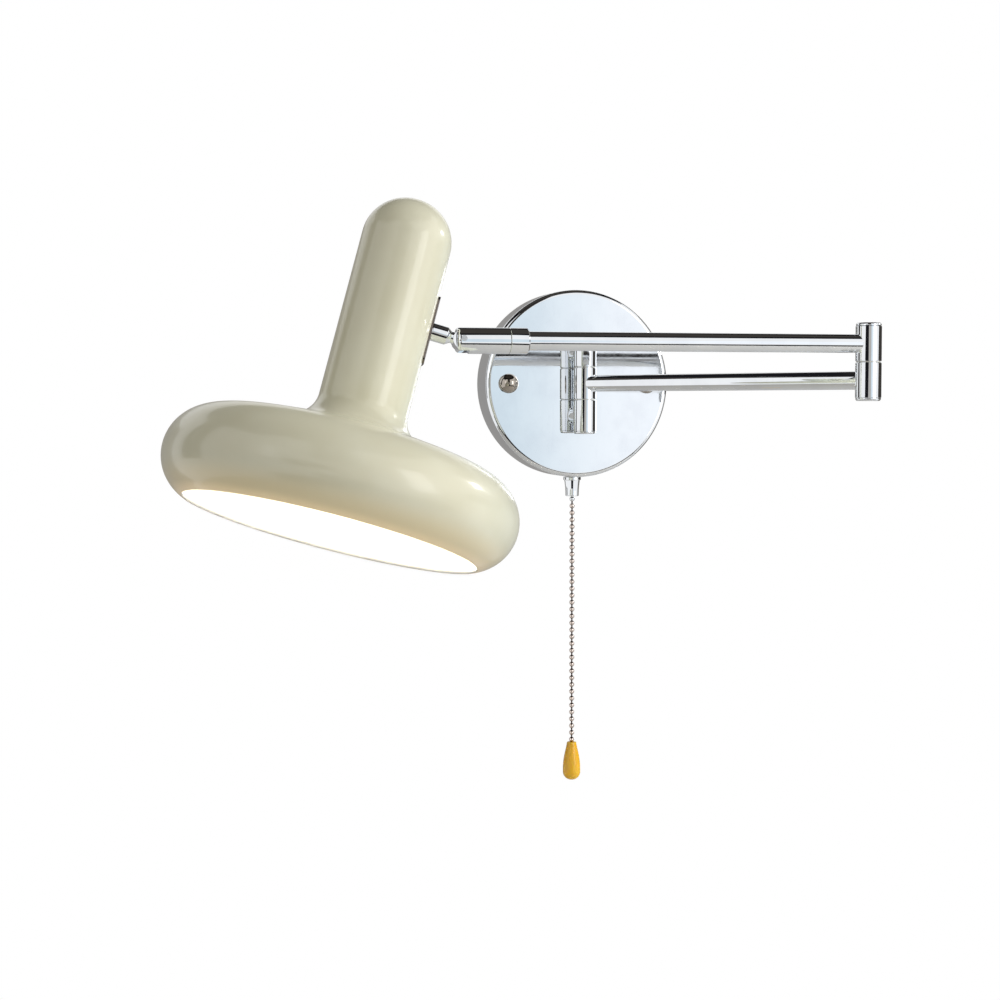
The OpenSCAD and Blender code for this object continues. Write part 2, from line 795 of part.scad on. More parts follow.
module swivel_sleeve() {
    r = sleeve_d / 2;
    e = 2;
    half = tongue_w / 2 + loose_gap / 2;
    w = neck_r + loose_gap;
    reach = 3 * knuckle_r;
    color("silver") swivel_frame() difference() {
        along_x() rotate_extrude() polygon(concat(
            [[0, sleeve_start], [r - 0.2, sleeve_start], [r, sleeve_start + 0.2]],
            arc([r - e, sleeve_end - e], e, 0, 90, 6),
            [[0, sleeve_end]]));
        along_x() {
            translate([0, 0, sleeve_start - past])
                cylinder(d = spigot_d + 2 * run_gap, h = bearing_l + 2 * past);
            translate([0, 0, sleeve_start + bearing_l])
                cylinder(r = clip_cavity_r, h = pin_x - knuckle_r - 3 - sleeve_start - bearing_l);
            translate([0, 0, sleeve_start]) cylinder(d = pivot_bore, h = sleeve_l / 2 + 6);
        }
        translate([pin_x, 0, 0]) rotate([90, 0, 0]) {
            cylinder(r = knuckle_r + loose_gap, h = 2 * half, center = true);
            cylinder(d = pin_d + 2 * fit_gap, h = 2 * sleeve_d, center = true);
            linear_extrude(2 * half, center = true) polygon(concat(
                [turned([0, -w], slot_down), turned([reach, -w], slot_down)],
                arc([0, 0], reach, slot_down, slot_up, 12),
                [turned([reach, w], slot_up), turned([0, w], slot_up)]));
        }
    }
}

module knuckle_pins() {
    inner = head_bore / 2 + 0.3;
    l = sleeve_d / 2 - 0.15 - inner;
    color("darkgray") swivel_frame() translate([pin_x, 0, 0]) rotate([90, 0, 0]) for (s = [0, 1]) {
        mirror([0, 0, s]) translate([0, 0, inner]) cylinder(d = pin_d, h = l);
    }
}

// Head

module head_knuckle() {
    cone_start = knuckle_r + 1;
    cone_end = cone_start + 2.4;
    color("silver") head_frame() difference() {
        union() {
            rotate([90, 0, 0]) cylinder(r = knuckle_r, h = tongue_w, center = true);
            along_x() rotate_extrude() polygon([
                [0, 0], [neck_r, 0], [neck_r, cone_start], [neck_collar_r, cone_end],
                [neck_collar_r, saddle_face - fit_gap], [shank_d / 2, saddle_face - fit_gap],
                [shank_d / 2, knuckle_end], [0, knuckle_end]]);
        }
        along_x() translate([0, 0, -2 * knuckle_r]) cylinder(d = head_bore, h = 2 * stem_offset, $fn = 32);
        rotate([90, 0, 0]) for (s = [0, 1]) mirror([0, 0, s]) {
            translate([0, 0, head_bore / 2 + 0.2]) cylinder(d = pin_d + 2 * run_gap, h = tongue_w);
        }
    }
}

module saddle_plate() {
    color("gray") head_frame() difference() {
        intersection() {
            translate([stem_offset, 0, -saddle_l])
                ring(stem_d + 2 * (saddle_t + fit_gap), stem_d + 2 * fit_gap, 2 * saddle_l);
            along_x() rounded_plate(saddle_l, saddle_w, 3, stem_offset);
        }
        along_x() cylinder(d = shank_d + 2 * fit_gap, h = stem_offset);
    }
}

module knuckle_nut() {
    color("gray") head_frame() translate([nut_face, 0, 0]) along_x() hex_nut(12, shank_d, nut_h);
}

module holder_bracket() {
    foot = joint_height - saddle_l / 2;
    leg = stem_offset - strap_x + 8;
    color("gainsboro") head_frame() translate([0, 0, -joint_height]) difference() {
        rotate([90, 0, 0]) linear_extrude(strap_w, center = true) {
            translate([strap_x, foot]) square([strap_t, holder_top + strap_t - strap_bend - foot]);
            translate([strap_x + strap_bend, holder_top]) square([leg - strap_bend, strap_t]);
            translate([strap_x + strap_bend, holder_top + strap_t - strap_bend]) intersection() {
                difference() {
                    circle(strap_bend);
                    circle(strap_bend - strap_t);
                }
                translate([-strap_bend, 0]) square(strap_bend);
            }
        }
        translate([0, 0, joint_height]) along_x()
            cylinder(d = shank_d + 2 * fit_gap, h = strap_x + strap_t + past);
        translate([stem_offset, 0, holder_top - past])
            cylinder(d = nipple_d + 2 * fit_gap, h = 2 * past + strap_t);
    }
}

module holder_nipple() {
    color("gold") shade_frame() translate([0, 0, holder_top - 5]) ring(nipple_d, 7, 5 + strap_t + 5);
}

module nipple_nut() {
    color("gold") shade_frame() translate([0, 0, holder_top + strap_t + fit_gap]) hex_nut(14, nipple_d, 3);
}

module holder_cap() {
    r = holder_d / 2;
    top = holder_top - fit_gap;
    color("ivory") shade_frame() difference() {
        rotate_extrude() polygon(concat(
            [[0, holder_split + fit_gap], [r, holder_split + fit_gap]],
            arc([r - 5, top - 5], 5, 0, 90, 8),
            [[0, top]]));
        translate([0, 0, holder_split]) cylinder(r = r - 2, h = holder_l / 2 - 7);
        translate([0, 0, holder_split]) cylinder(d = nipple_d + 2 * fit_gap, h = holder_l);
    }
}

screw_shell_d = screw_cap_d + 1.4;
cap_top = holder_split - 4;

module holder_body() {
    r = holder_d / 2;
    color("ivory") shade_frame() difference() {
        rotate_extrude() polygon([
            [0, holder_mouth], [r - 0.8, holder_mouth], [r, holder_mouth + 0.8], [r, holder_mouth + 3],
            [r - 0.8, holder_mouth + 4], [r - 0.8, holder_split - 1], [r, holder_split - 0.2],
            [r, holder_split], [0, holder_split]]);
        translate([0, 0, holder_mouth - past])
            cylinder(d = screw_shell_d + 2 * fit_gap, h = holder_split - 2.5 - holder_mouth + past);
        translate([0, 0, holder_mouth]) cylinder(d = 3, h = holder_l);
    }
}

module contact_shell() {
    color("gold") shade_frame() translate([0, 0, holder_mouth + 2])
        ring(screw_shell_d, screw_cap_d + 2 * loose_gap, cap_top - holder_mouth - 4);
}

module contact_tab() {
    color("gold") shade_frame() translate([0, 0, cap_top + fit_gap])
        cylinder(d = 6, h = holder_split - 2.5 - cap_top - 2 * fit_gap);
}

// Bulb: its cap stands in the holder and its globe hangs below
bulb_tip = holder_mouth - bulb_drop;
globe_z = bulb_tip + bulb_d / 2;
globe_cut = globe_z + bulb_d * 0.25;
globe_cut_r = sqrt(pow(bulb_d / 2, 2) - pow(globe_cut - globe_z, 2));

module bulb_cap() {
    r = screw_cap_d / 2;
    color("silver") shade_frame() rotate_extrude() polygon([
        [0, holder_mouth - 1], [r, holder_mouth - 1], [r, cap_top - 4], [r - 2.5, cap_top - 1.5],
        [2.4, cap_top - 1.2], [2.4, cap_top], [0, cap_top]]);
}

module bulb_base() {
    r = screw_cap_d / 2 + 1;
    top = holder_mouth - 1 - fit_gap;
    color("white") shade_frame() rotate_extrude() polygon([
        [0, globe_cut + fit_gap], [globe_cut_r, globe_cut + fit_gap],
        [r + 2.6, top - 5], [r + 0.6, top - 1.6], [r - 1, top], [0, top]]);
}

module bulb_globe() {
    color("white") shade_frame() difference() {
        translate([0, 0, globe_z]) sphere(d = bulb_d);
        translate([0, 0, globe_z]) sphere(d = bulb_d - 2.4);
        translate([0, 0, globe_cut]) cylinder(d = bulb_d, h = bulb_d);
    }
}

module head_cable() {
    exit_x = knuckle_end + head_bore / 2 + 0.1;
    top = holder_top + strap_t;
    side = strap_w / 2 + 4;
    color("whitesmoke") head_frame() translate([0, 0, -joint_height]) wire(concat(
        bend([exit_x, 0, joint_height], [exit_x, 5, joint_height], [exit_x, side, joint_height + 2],
             [exit_x + 1, side, joint_height + 8], 5),
        bend([exit_x + 1, side, top - 2], [exit_x + 1, side, top + 14],
             [stem_offset, 0, top + 16], [stem_offset, 0, top + 1], 8)), 2, [1, 1, 1]);
}

// Half section of the shade, drawn in by inset, from the lip to the top
function shade_curve(inset) = concat(
    arc([rim_cx, rim_cz], rim_r - inset, lip_angle, 90 - shoulder_rise, 30),
    arc([fillet_cx, fillet_cz], shoulder_fillet + inset, 270 - shoulder_rise, 180, 8),
    [for (i = [0 : 13]) let (a = 90 * i / 14)
        [(stem_r - inset) * cos(a), dome_base + (dome_h - inset) * sin(a)]],
    [[0, shade_h - inset]]);

module lamp_shade() {
    outer = shade_curve(0);
    inner = shade_curve(shade_wall);
    last = len(inner) - 1;
    lip_r = rim_r - shade_wall / 2;
    lip = [rim_cx + lip_r * cos(lip_angle), rim_cz + lip_r * sin(lip_angle)];
    color("ivory") shade_frame() difference() {
        rotate_extrude($fn = 128) polygon(concat(
            outer,
            [for (i = [last : -1 : 0]) inner[i]],
            arc(lip, shade_wall / 2, lip_angle - 150, lip_angle - 30, 4)));
        translate([-stem_offset, 0, joint_height]) along_x()
            cylinder(d = shank_d + 2 * loose_gap, h = stem_offset);
    }
}

mounting_bracket();
bracket_studs();
bracket_nuts();
wall_plate();
cap_nuts();
upper_post_mount();
lower_post_mount();
post_nuts();
post_shaft();
post_end_caps();
post_washers();
terminal_block();
terminal_screws();
earth_screw();
live_wires();
neutral_wire();
earth_wire();
switch_housing();
switch_cover();
switch_contacts();
switch_nozzle();
return_spring();
switch_plunger();
chain_top();
bead_chain();
pull_knob();
lower_post_barrel();
post_bushes();
lower_arm_tube();
lower_elbow_barrel();
elbow_shaft();
elbow_end_caps();
elbow_washer();
lower_arm_cable();
upper_elbow_barrel();
elbow_bushes();
upper_arm_tube();
arm_end_collar();
spigot_clip();
upper_arm_cable();
swivel_sleeve();
knuckle_pins();
head_knuckle();
saddle_plate();
knuckle_nut();
holder_bracket();
holder_nipple();
nipple_nut();
holder_cap();
holder_body();
contact_shell();
contact_tab();
bulb_cap();
bulb_base();
bulb_globe();
head_cable();
lamp_shade();
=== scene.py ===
# %% [markdown]
# # A swing-arm wall lamp, dressed in Blender
# The imported CAD model is the skeleton of this scene. It fixes every size and every
# pivot. Blender adds what CAD leaves out: chrome that mirrors a room, a glossy
# cream enamel on a spun shade, a ball chain, an amber knob and a lit bulb.
#
# The first step empties the file and loads that skeleton.

# %% Load the skeleton
import json
import math

import bpy
import numpy as np
from mathutils import Euler, Matrix, Vector

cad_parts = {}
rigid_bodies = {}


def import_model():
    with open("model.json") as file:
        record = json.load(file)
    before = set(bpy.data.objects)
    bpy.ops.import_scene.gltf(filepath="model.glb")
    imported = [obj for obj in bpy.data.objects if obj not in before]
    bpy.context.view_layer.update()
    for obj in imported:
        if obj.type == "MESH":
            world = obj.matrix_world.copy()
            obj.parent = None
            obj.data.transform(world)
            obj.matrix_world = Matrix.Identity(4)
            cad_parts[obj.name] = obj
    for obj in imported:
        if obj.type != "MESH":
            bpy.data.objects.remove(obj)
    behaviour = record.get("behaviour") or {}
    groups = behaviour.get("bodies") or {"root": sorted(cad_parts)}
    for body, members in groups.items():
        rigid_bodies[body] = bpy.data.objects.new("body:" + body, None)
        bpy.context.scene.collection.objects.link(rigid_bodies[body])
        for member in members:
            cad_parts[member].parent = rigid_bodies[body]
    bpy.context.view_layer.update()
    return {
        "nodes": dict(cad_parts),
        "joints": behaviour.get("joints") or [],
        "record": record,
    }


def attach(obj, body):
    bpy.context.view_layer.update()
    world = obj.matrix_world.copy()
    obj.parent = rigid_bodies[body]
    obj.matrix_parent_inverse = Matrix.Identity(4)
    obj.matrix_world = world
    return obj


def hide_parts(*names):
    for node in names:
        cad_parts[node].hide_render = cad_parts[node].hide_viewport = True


for leftover in list(bpy.data.objects):
    bpy.data.objects.remove(leftover)
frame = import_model()
nodes = frame["nodes"]
joints = {joint["name"]: joint for joint in frame["joints"]}

# %% [markdown]
# ## The camera
# The photograph was taken at about the height of the wall plate's middle, from the
# front and a little from the left, with a long lens. The place and the lens come from
# a least-squares fit of the lamp's own pivots and edges, so the camera is simply
# written down here, with no shift and no blur.

# %% Place the camera
CAMERA_PLACE = (-0.292, -1.160, -0.014)
CAMERA_TURN = (87.15, 0.0, -12.1)
LENS_MM = 67.75

lens = bpy.data.cameras.new("photo_camera")
lens.lens = LENS_MM
lens.sensor_width = 36.0
lens.clip_start = 0.02
camera = bpy.data.objects.new("photo_camera", lens)
camera.location = CAMERA_PLACE
camera.rotation_euler = Euler([math.radians(a) for a in CAMERA_TURN])
bpy.context.scene.collection.objects.link(camera)
bpy.context.scene.camera = camera
print("camera at", CAMERA_PLACE, "lens", LENS_MM)

# %% [markdown]
# ## Shader maths that reads like maths
# A material is a small program. Written as separate Math nodes it is hard to follow,
# so one class wraps a socket and lets Python's own operators add the nodes. The
# reflected forms are there too, so that `1 - mask` works as well as `mask - 1`.

# %% Wrap a socket
class Wire:
    """A shader value. Each operator adds one Math node to the same tree."""

    def __init__(self, paint, socket):
        self.paint, self.socket = paint, socket

    def _maths(self, operation, first, second):
        made = self.paint.node("ShaderNodeMath", {"operation": operation}, {0: first, 1: second})
        return Wire(self.paint, made.outputs[0])

    def __add__(self, other):
        return self._maths("ADD", self, other)

    def __sub__(self, other):
        return self._maths("SUBTRACT", self, other)

    def __rsub__(self, other):
        return self._maths("SUBTRACT", other, self)

    def __mul__(self, other):
        return self._maths("MULTIPLY", self, other)

    __radd__, __rmul__ = __add__, __mul__

    def step(self, low, high):
        """0 below low, 1 above high, and a smooth climb between them."""
        made = self.paint.node(
            "ShaderNodeMapRange",
            {"interpolation_type": "SMOOTHSTEP"},
            {"Value": self, "From Min": low, "From Max": high},
        )
        return Wire(self.paint, made.outputs["Result"])


# %% [markdown]
# ## One method for every other node
# `Paint` is a material with its surface shader. Its `node` method takes a node's
# type, then its settings, then the values or wires of its sockets. The short helpers
# under it name the patterns that this lamp's finishes use again and again.

# %% Make a paint
class Paint:
    """A material under construction."""

    def __init__(self, name, tree=None):
        if tree is None:
            self.material = bpy.data.materials.new(name)
            self.material.use_nodes = True
            tree = self.material.node_tree
        self.tree = tree
        tree.nodes.clear()

    def node(self, kind, settings=None, sockets=None):
        """Adds a node: its settings first, then a value or a wire for each socket."""
        made = self.tree.nodes.new(kind)
        for key, value in (settings or {}).items():
            setattr(made, key, value)
        for key, value in (sockets or {}).items():
            if isinstance(value, Wire):
                self.tree.links.new(value.socket, made.inputs[key])
            else:
                made.inputs[key].default_value = value
        return made

    def wire(self, kind, settings=None, sockets=None, out=0):
        """The same, when one output of the node is all that is wanted."""
        return Wire(self, self.node(kind, settings, sockets).outputs[out])

    def place(self, centre=(0.0, 0.0, 0.0), turn=(0.0, 0.0, 0.0), stretch=(1.0, 1.0, 1.0)):
        """Object coordinates, moved so that centre is the origin, then turned and stretched."""
        spot = self.wire("ShaderNodeTexCoord", out="Object")
        return self.wire(
            "ShaderNodeMapping",
            {"vector_type": "TEXTURE"},
            {"Vector": spot, "Location": centre, "Rotation": turn, "Scale": stretch},
        )

    def cloud(self, size, place=None, detail=3.0, roughness=0.5):
        """Soft noise from 0 to 1 whose blobs are about size metres across."""
        sockets = {"Scale": 1.0 / size, "Detail": detail, "Roughness": roughness}
        sockets["Vector"] = place if place is not None else self.place()
        return self.wire("ShaderNodeTexNoise", None, sockets)

    def blend(self, first, second, share):
        """A colour between first and second. Mix has its colours at sockets 6 and 7."""
        sockets = {0: share, 6: first, 7: second}
        return self.wire("ShaderNodeMix", {"data_type": "RGBA"}, sockets, out=2)

    def bump(self, height, depth):
        """A Bump node: height runs from 0 to 1 and depth is in metres."""
        sockets = {"Height": height, "Distance": depth, "Strength": 1.0}
        return self.wire("ShaderNodeBump", None, sockets)

    def surface(self, **sockets):
        """Ends the material with one Principled shader."""
        named = {key.replace("_", " "): value for key, value in sockets.items()}
        shader = self.node("ShaderNodeBsdfPrincipled", None, named)
        out = self.node("ShaderNodeOutputMaterial")
        self.tree.links.new(shader.outputs[0], out.inputs["Surface"])
        return self.material


def rgb(red, green, blue):
    """A display colour of 0 to 255, as the linear colour that a shader takes."""
    def linear(value):
        value /= 255.0
        return value / 12.92 if value <= 0.04045 else ((value + 0.055) / 1.055) ** 2.4
    return (linear(red), linear(green), linear(blue), 1.0)


# %% [markdown]
# ## Chrome and the plain metals
# Bright chrome has no colour of its own to speak of: it looks like what surrounds
# it. Two things keep it from looking like a perfect computer mirror. Its polish
# wanders a little, which a faint noise in the roughness gives, and the sheet
# under it is never quite flat, which a very shallow, very wide bump gives.

# %% Chrome
def polished(name, bright, dull, smooth, rough, ripple):
    """Plated metal: its colour wanders from bright to dull, and its roughness from smooth
    to rough. The waves in the sheet are ripple metres deep."""
    paint = Paint(name)
    haze = paint.cloud(0.018, detail=4.0).step(0.35, 0.75)
    wiped = paint.cloud(0.003, paint.place(stretch=(1.0, 1.0, 6.0))).step(0.5, 0.8)
    waves = paint.cloud(0.03, detail=1.0)
    return paint.surface(
        Base_Color=paint.blend(bright, dull, haze * 0.6 + wiped * 0.2),
        Metallic=1.0,
        Roughness=smooth + (rough - smooth) * (haze * 0.7 + wiped * 0.3),
        Normal=paint.bump(waves, ripple),
    )


chrome = polished("chrome", rgb(238, 241, 244), rgb(226, 229, 234), 0.02, 0.07, 0.00004)
# The darker platings for the saddle and the cap nuts are painted reflection: dark for the dark
# surroundings they face.
saddle_painted_dark = polished("saddle_painted_dark", rgb(120, 112, 106), rgb(92, 84, 78), 0.05, 0.12, 0.00002)
cap_nuts_painted_dark = polished(
    "cap_nuts_painted_dark", rgb(186, 178, 168), rgb(150, 141, 132), 0.03, 0.08, 0.00002)
print("made", chrome.name, saddle_painted_dark.name, cap_nuts_painted_dark.name)

# %% [markdown]
# Zinc plating on pressed steel, spring steel, turned brass and sintered bronze are
# rougher. Each shows the marks of how it was made: streaks along a rolled strip,
# rings round a turned part, or the open grain of pressed powder.

# %% Plain metals
def worked(name, light, dark, rough, grain, depth, stretch=(1.0, 1.0, 1.0)):
    """Worked metal: its marks are grain metres wide and depth metres deep, and drawn out
    along the axis with the large stretch."""
    paint = Paint(name)
    marks = paint.cloud(grain, paint.place(stretch=stretch), detail=5.0, roughness=0.65)
    stain = paint.cloud(0.012).step(0.45, 0.75)
    return paint.surface(
        Base_Color=paint.blend(light, dark, marks * 0.5 + stain * 0.5),
        Metallic=1.0,
        Roughness=rough + marks * 0.12 + stain * 0.08,
        Normal=paint.bump(marks, depth),
    )


ALONG_X, ALONG_Z = (8.0, 1.0, 1.0), (1.0, 1.0, 8.0)
zinc = worked("zinc", rgb(205, 208, 210), rgb(168, 172, 178), 0.24, 0.0012, 0.00002, ALONG_X)
spring_steel = worked("spring_steel", rgb(128, 130, 133), rgb(88, 90, 94), 0.3, 0.001, 0.00002)
bronze = worked("bronze", rgb(190, 148, 92), rgb(146, 108, 62), 0.38, 0.0006, 0.00003)
brass = worked("brass", rgb(214, 184, 118), rgb(184, 150, 86), 0.22, 0.0009, 0.00002, ALONG_Z)
print("made", zinc.name, spring_steel.name, bronze.name, brass.name)

# %% [markdown]
# ## Plastics
# Moulded plastic is a colour with a skin: a fine, even texture from the mould
# and a little variation from the flow of the melt.

# %% Plastics
def moulded(name, light, dark, rough, grain, depth, coat=0.0):
    """Moulded plastic with a mould texture, grain metres wide and depth metres deep."""
    paint = Paint(name)
    skin = paint.cloud(grain, detail=2.0)
    flow = paint.cloud(0.02, detail=2.0).step(0.35, 0.7)
    return paint.surface(
        Base_Color=paint.blend(light, dark, flow),
        Roughness=rough + skin * 0.12,
        Coat_Weight=coat,
        Coat_Roughness=0.08,
        Normal=paint.bump(skin, depth),
    )


nylon = moulded("nylon", rgb(236, 235, 228), rgb(224, 222, 212), 0.42, 0.0008, 0.00002)
phenolic = moulded("phenolic", rgb(240, 236, 220), rgb(228, 222, 202), 0.22, 0.0006, 0.00001, 0.4)
white_plastic = moulded(
    "white_plastic", rgb(244, 244, 241), rgb(232, 232, 228), 0.3, 0.0007, 0.00002)
brown_pvc = moulded("brown_pvc", rgb(112, 66, 36), rgb(92, 52, 28), 0.4, 0.0009, 0.00002)
blue_pvc = moulded("blue_pvc", rgb(40, 92, 168), rgb(30, 74, 142), 0.4, 0.0009, 0.00002)
grey_pvc = moulded("grey_pvc", rgb(206, 206, 202), rgb(188, 188, 184), 0.42, 0.0009, 0.00002)
print("made six plastics")

# %% [markdown]
# The earth wire is green with a yellow stripe. The stripe follows the wire's
# run up and down the plate, so bands across a tilted axis are close enough to the
# extruded spiral of the real one.

# %% Earth wire
BAND_SCALE = 60.0


def striped_pvc():
    """Green insulation with a yellow band about every centimetre."""
    paint = Paint("earth_pvc")
    bands = paint.wire(
        "ShaderNodeTexWave",
        {"wave_type": "BANDS", "bands_direction": "DIAGONAL"},
        {"Vector": paint.place(), "Scale": BAND_SCALE, "Distortion": 0.4},
        out="Fac",
    ).step(0.45, 0.55)
    skin = paint.cloud(0.0009, detail=2.0)
    return paint.surface(
        Base_Color=paint.blend(rgb(52, 128, 52), rgb(222, 206, 50), bands),
        Roughness=0.4 + skin * 0.1,
        Normal=paint.bump(skin, 0.00002),
    )


earth_pvc = striped_pvc()
print("made", earth_pvc.name)

# %% [markdown]
# ## Finishes for the nodes that stay
# The record says which finish each CAD node has. A table turns those names into
# materials. The imported meshes are shaded triangle by triangle, so each one also
# gets three light modifiers: Weld joins the triangles, Edge Split keeps true corners
# crisp, and Weighted Normal lets large flat faces stay flat beside small radii. The
# cap nuts and the saddle are painted darker than the chrome beside them: a painted
# reflection of the dark surroundings that they face.

# %% Dress the nodes
FINISHES = {
    "chrome": chrome, "zinc": zinc, "spring_steel": spring_steel, "bronze": bronze,
    "brass": brass, "nylon": nylon, "phenolic": phenolic, "white_plastic": white_plastic,
    "brown_pvc": brown_pvc, "blue_pvc": blue_pvc, "earth_pvc": earth_pvc,
    "grey_pvc": grey_pvc, "amber": None, "opal_glass": None, "cream_paint": None,
}
SHARP_ANGLE, WELD_WITHIN, FACE_WEIGHT = math.radians(32), 2e-6, 100


def dress(node, finish):
    """Gives a CAD node its finish and smooth shading, and leaves its points alone."""
    mesh = node.data
    mesh.materials.clear()
    mesh.materials.append(finish)
    mesh.polygons.foreach_set("material_index", np.zeros(len(mesh.polygons), np.int32))
    mesh.polygons.foreach_set("use_smooth", np.ones(len(mesh.polygons), bool))
    weld = node.modifiers.new("join_triangles", "WELD")
    weld.merge_threshold = WELD_WITHIN
    split = node.modifiers.new("keep_corners", "EDGE_SPLIT")
    split.split_angle = SHARP_ANGLE
    even = node.modifiers.new("flat_stays_flat", "WEIGHTED_NORMAL")
    even.weight = FACE_WEIGHT


# Painted reflection: the saddle and the cap nuts get a darker metal colour.
PAINTED_DARK = {"saddle_plate": saddle_painted_dark, "cap_nuts": cap_nuts_painted_dark}
for part in frame["record"]["subparts"]:
    finish = PAINTED_DARK.get(part["node"], FINISHES[part["material_slot"]])
    if finish is not None:
        dress(nodes[part["node"]], finish)
print("dressed", sum(bool(node.modifiers) for node in nodes.values()), "nodes")

# %% [markdown]
# ## Turned shapes
# Most of this lamp was spun or turned on a lathe, so most new pieces are a profile
# carried round an axis. Each profile is a list of (radius, height) points. Where
# a profile starts or ends on the axis, its ring shrinks to one point, so the
# surface closes there without a seam.

# %% Turn a profile
MM = 0.001
ON_AXIS = 1e-9


def lathe(outline, steps, closed=False):
    """Point (r, z) of the outline lands at (r cos t, r sin t, z), for steps angles t
    evenly round a circle."""
    outline = np.asarray(outline, float)
    angle = np.linspace(0.0, 2.0 * np.pi, steps, endpoint=False)
    radius, height = outline[:, :1], outline[:, 1:]
    grid = np.stack(np.broadcast_arrays(
        radius * np.cos(angle), radius * np.sin(angle), height + 0.0 * angle), -1)
    rows = len(outline)
    index = np.arange(rows * steps).reshape(rows, steps)
    pole = outline[:, 0] < ON_AXIS
    index[pole] = index[pole][:, :1]
    below = np.roll(index, -1, 0) if closed else index[1:]
    above = index if closed else index[:-1]
    quads = np.stack([above, below, np.roll(below, -1, 1), np.roll(above, -1, 1)], -1)
    return grid.reshape(-1, 3), quads


def tidy_faces(quads):
    """Flat lists of faces without repeated corners, and the outline row that each came from."""
    flat = quads.reshape(-1, 4)
    row = np.repeat(np.arange(len(quads)), quads.shape[1])
    top, foot = flat[:, 0] == flat[:, 3], flat[:, 1] == flat[:, 2]
    faces = flat[~top & ~foot].tolist()
    faces += flat[top][:, :3].tolist() + flat[foot][:, [0, 1, 3]].tolist()
    return faces, np.concatenate([row[~top & ~foot], row[top], row[foot]])


# %% [markdown]
# A piece made here is finished in one place: its points are scaled to metres and
# moved to where the CAD has them, its faces are turned outwards by the sign of the
# volume they enclose, it is given the body it rides on and the finishes it shows,
# and the CAD nodes that it stands for are hidden.

# %% Make a piece
def volume(points, faces):
    """Six times the enclosed volume: the sum of a . (b x c) over a fan of each face."""
    fans = [[f[0], f[k], f[k + 1]] for f in faces for k in range(1, len(f) - 1)]
    a, b, c = (points[[fan[k] for fan in fans]] for k in range(3))
    return float(np.einsum("ij,ij->", a, np.cross(b, c)))


def piece(name, points, faces, place, body, finishes, stands_for=(), which=None):
    """A smooth mesh object in the row's frame: points are in mm in the frame given by place."""
    matrix = np.array(place)
    points = points * MM @ matrix[:3, :3].T + matrix[:3, 3]
    used = np.unique(np.concatenate([np.ravel(f) for f in faces]))
    renumber = np.full(len(points), -1)
    renumber[used] = np.arange(len(used))
    points = points[used]
    faces = [renumber[f].tolist() for f in faces]
    if volume(points - points.mean(0), faces) < 0:
        faces = [face[::-1] for face in faces]
    mesh = bpy.data.meshes.new(name)
    mesh.from_pydata(points, [], faces)
    mesh.polygons.foreach_set("use_smooth", np.ones(len(faces), bool))
    for finish in finishes:
        mesh.materials.append(finish)
    if which is not None:
        mesh.polygons.foreach_set("material_index", np.asarray(which, np.int32))
    mesh.update()
    made = bpy.data.objects.new(name, mesh)
    bpy.context.scene.collection.objects.link(made)
    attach(made, body)
    if stands_for:
        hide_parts(*stands_for)
    print(name, len(points), "points", len(faces), "faces")


def arc(centre, radius, start, stop, count):
    """count + 1 points of a circle about centre, from start to stop degrees."""
    angle = np.radians(np.linspace(start, stop, count + 1))
    return np.stack([centre[0] + radius * np.cos(angle), centre[1] + radius * np.sin(angle)], 1)


def with_support(outline, gap):
    """The outline with a point gap away from each end of its long straight runs, so that
    smooth shading turns only close to a corner."""
    outline = np.asarray(outline, float)
    rows = [outline[:1]]
    for start, stop in zip(outline[:-1], outline[1:]):
        run = np.linalg.norm(stop - start)
        if run > 4 * gap:
            way = (stop - start) / run
            rows.append(np.stack([start + way * gap, stop - way * gap]))
        rows.append(stop[None])
    return np.concatenate(rows)


# %% [markdown]
# ## Where the head stands
# The head hangs from the knuckle's pins. Its frame is the pins' place, turned half
# round to face along the upper arm, rolled by 9 degrees about the arm and tilted
# by 16 degrees in the slot. The shade's own frame starts in the middle of its
# opening, with its axis running up the stem.

# %% Frames
HEAD_ROLL, HEAD_TILT = 9.0, 16.0
STEM_OFFSET, JOINT_HEIGHT = 40.5, 114.0
SWITCH_Y = -0.014

pins = Vector(joints["head_tilt"]["pos_m"])
head_frame = (
    Matrix.Translation(pins)
    @ Matrix.Rotation(math.pi, 4, "Z")
    @ Matrix.Rotation(math.radians(HEAD_ROLL), 4, "X")
    @ Matrix.Rotation(math.radians(-HEAD_TILT), 4, "Y")
)
shade_frame = head_frame @ Matrix.Translation(Vector((STEM_OFFSET, 0.0, -JOINT_HEIGHT)) * MM)
wall_frame = Matrix.Rotation(math.radians(90), 4, "X")
switch_frame = Matrix.Translation((0.0, SWITCH_Y, 0.0))
print("shade opening at", tuple(round(v, 5) for v in shade_frame.translation))

# %% [markdown]
# ## Cream enamel
# The shade is spun steel with a thick glossy enamel. Its colour is a warm cream
# that hardly varies. What the eye reads as enamel is the gloss: a hard clear skin
# over a faint orange peel. Under the rim the cream is painted warmer as painted
# bounce light, and at the lip a painted orange glow stands for spilling lamplight.

# %% Enamel
# Painted bounce light: under the rim the cream is painted warmer.
PAINTED_BOUNCE_CREAM, PAINTED_BOUNCE_SHARE, PAINTED_BOUNCE_RISE = rgb(243, 226, 182), 0.85, (0.001, 0.015)
# Painted glow: an orange emission painted on the enamel near the lip.
PAINTED_LAMP_GLOW, PAINTED_LAMP_GLOW_SHARE, LIP_RISE = (1.0, 0.66, 0.34, 1.0), 0.2, (-0.001, 0.004)
NO_LIGHT = (0.0, 0.0, 0.0, 1.0)


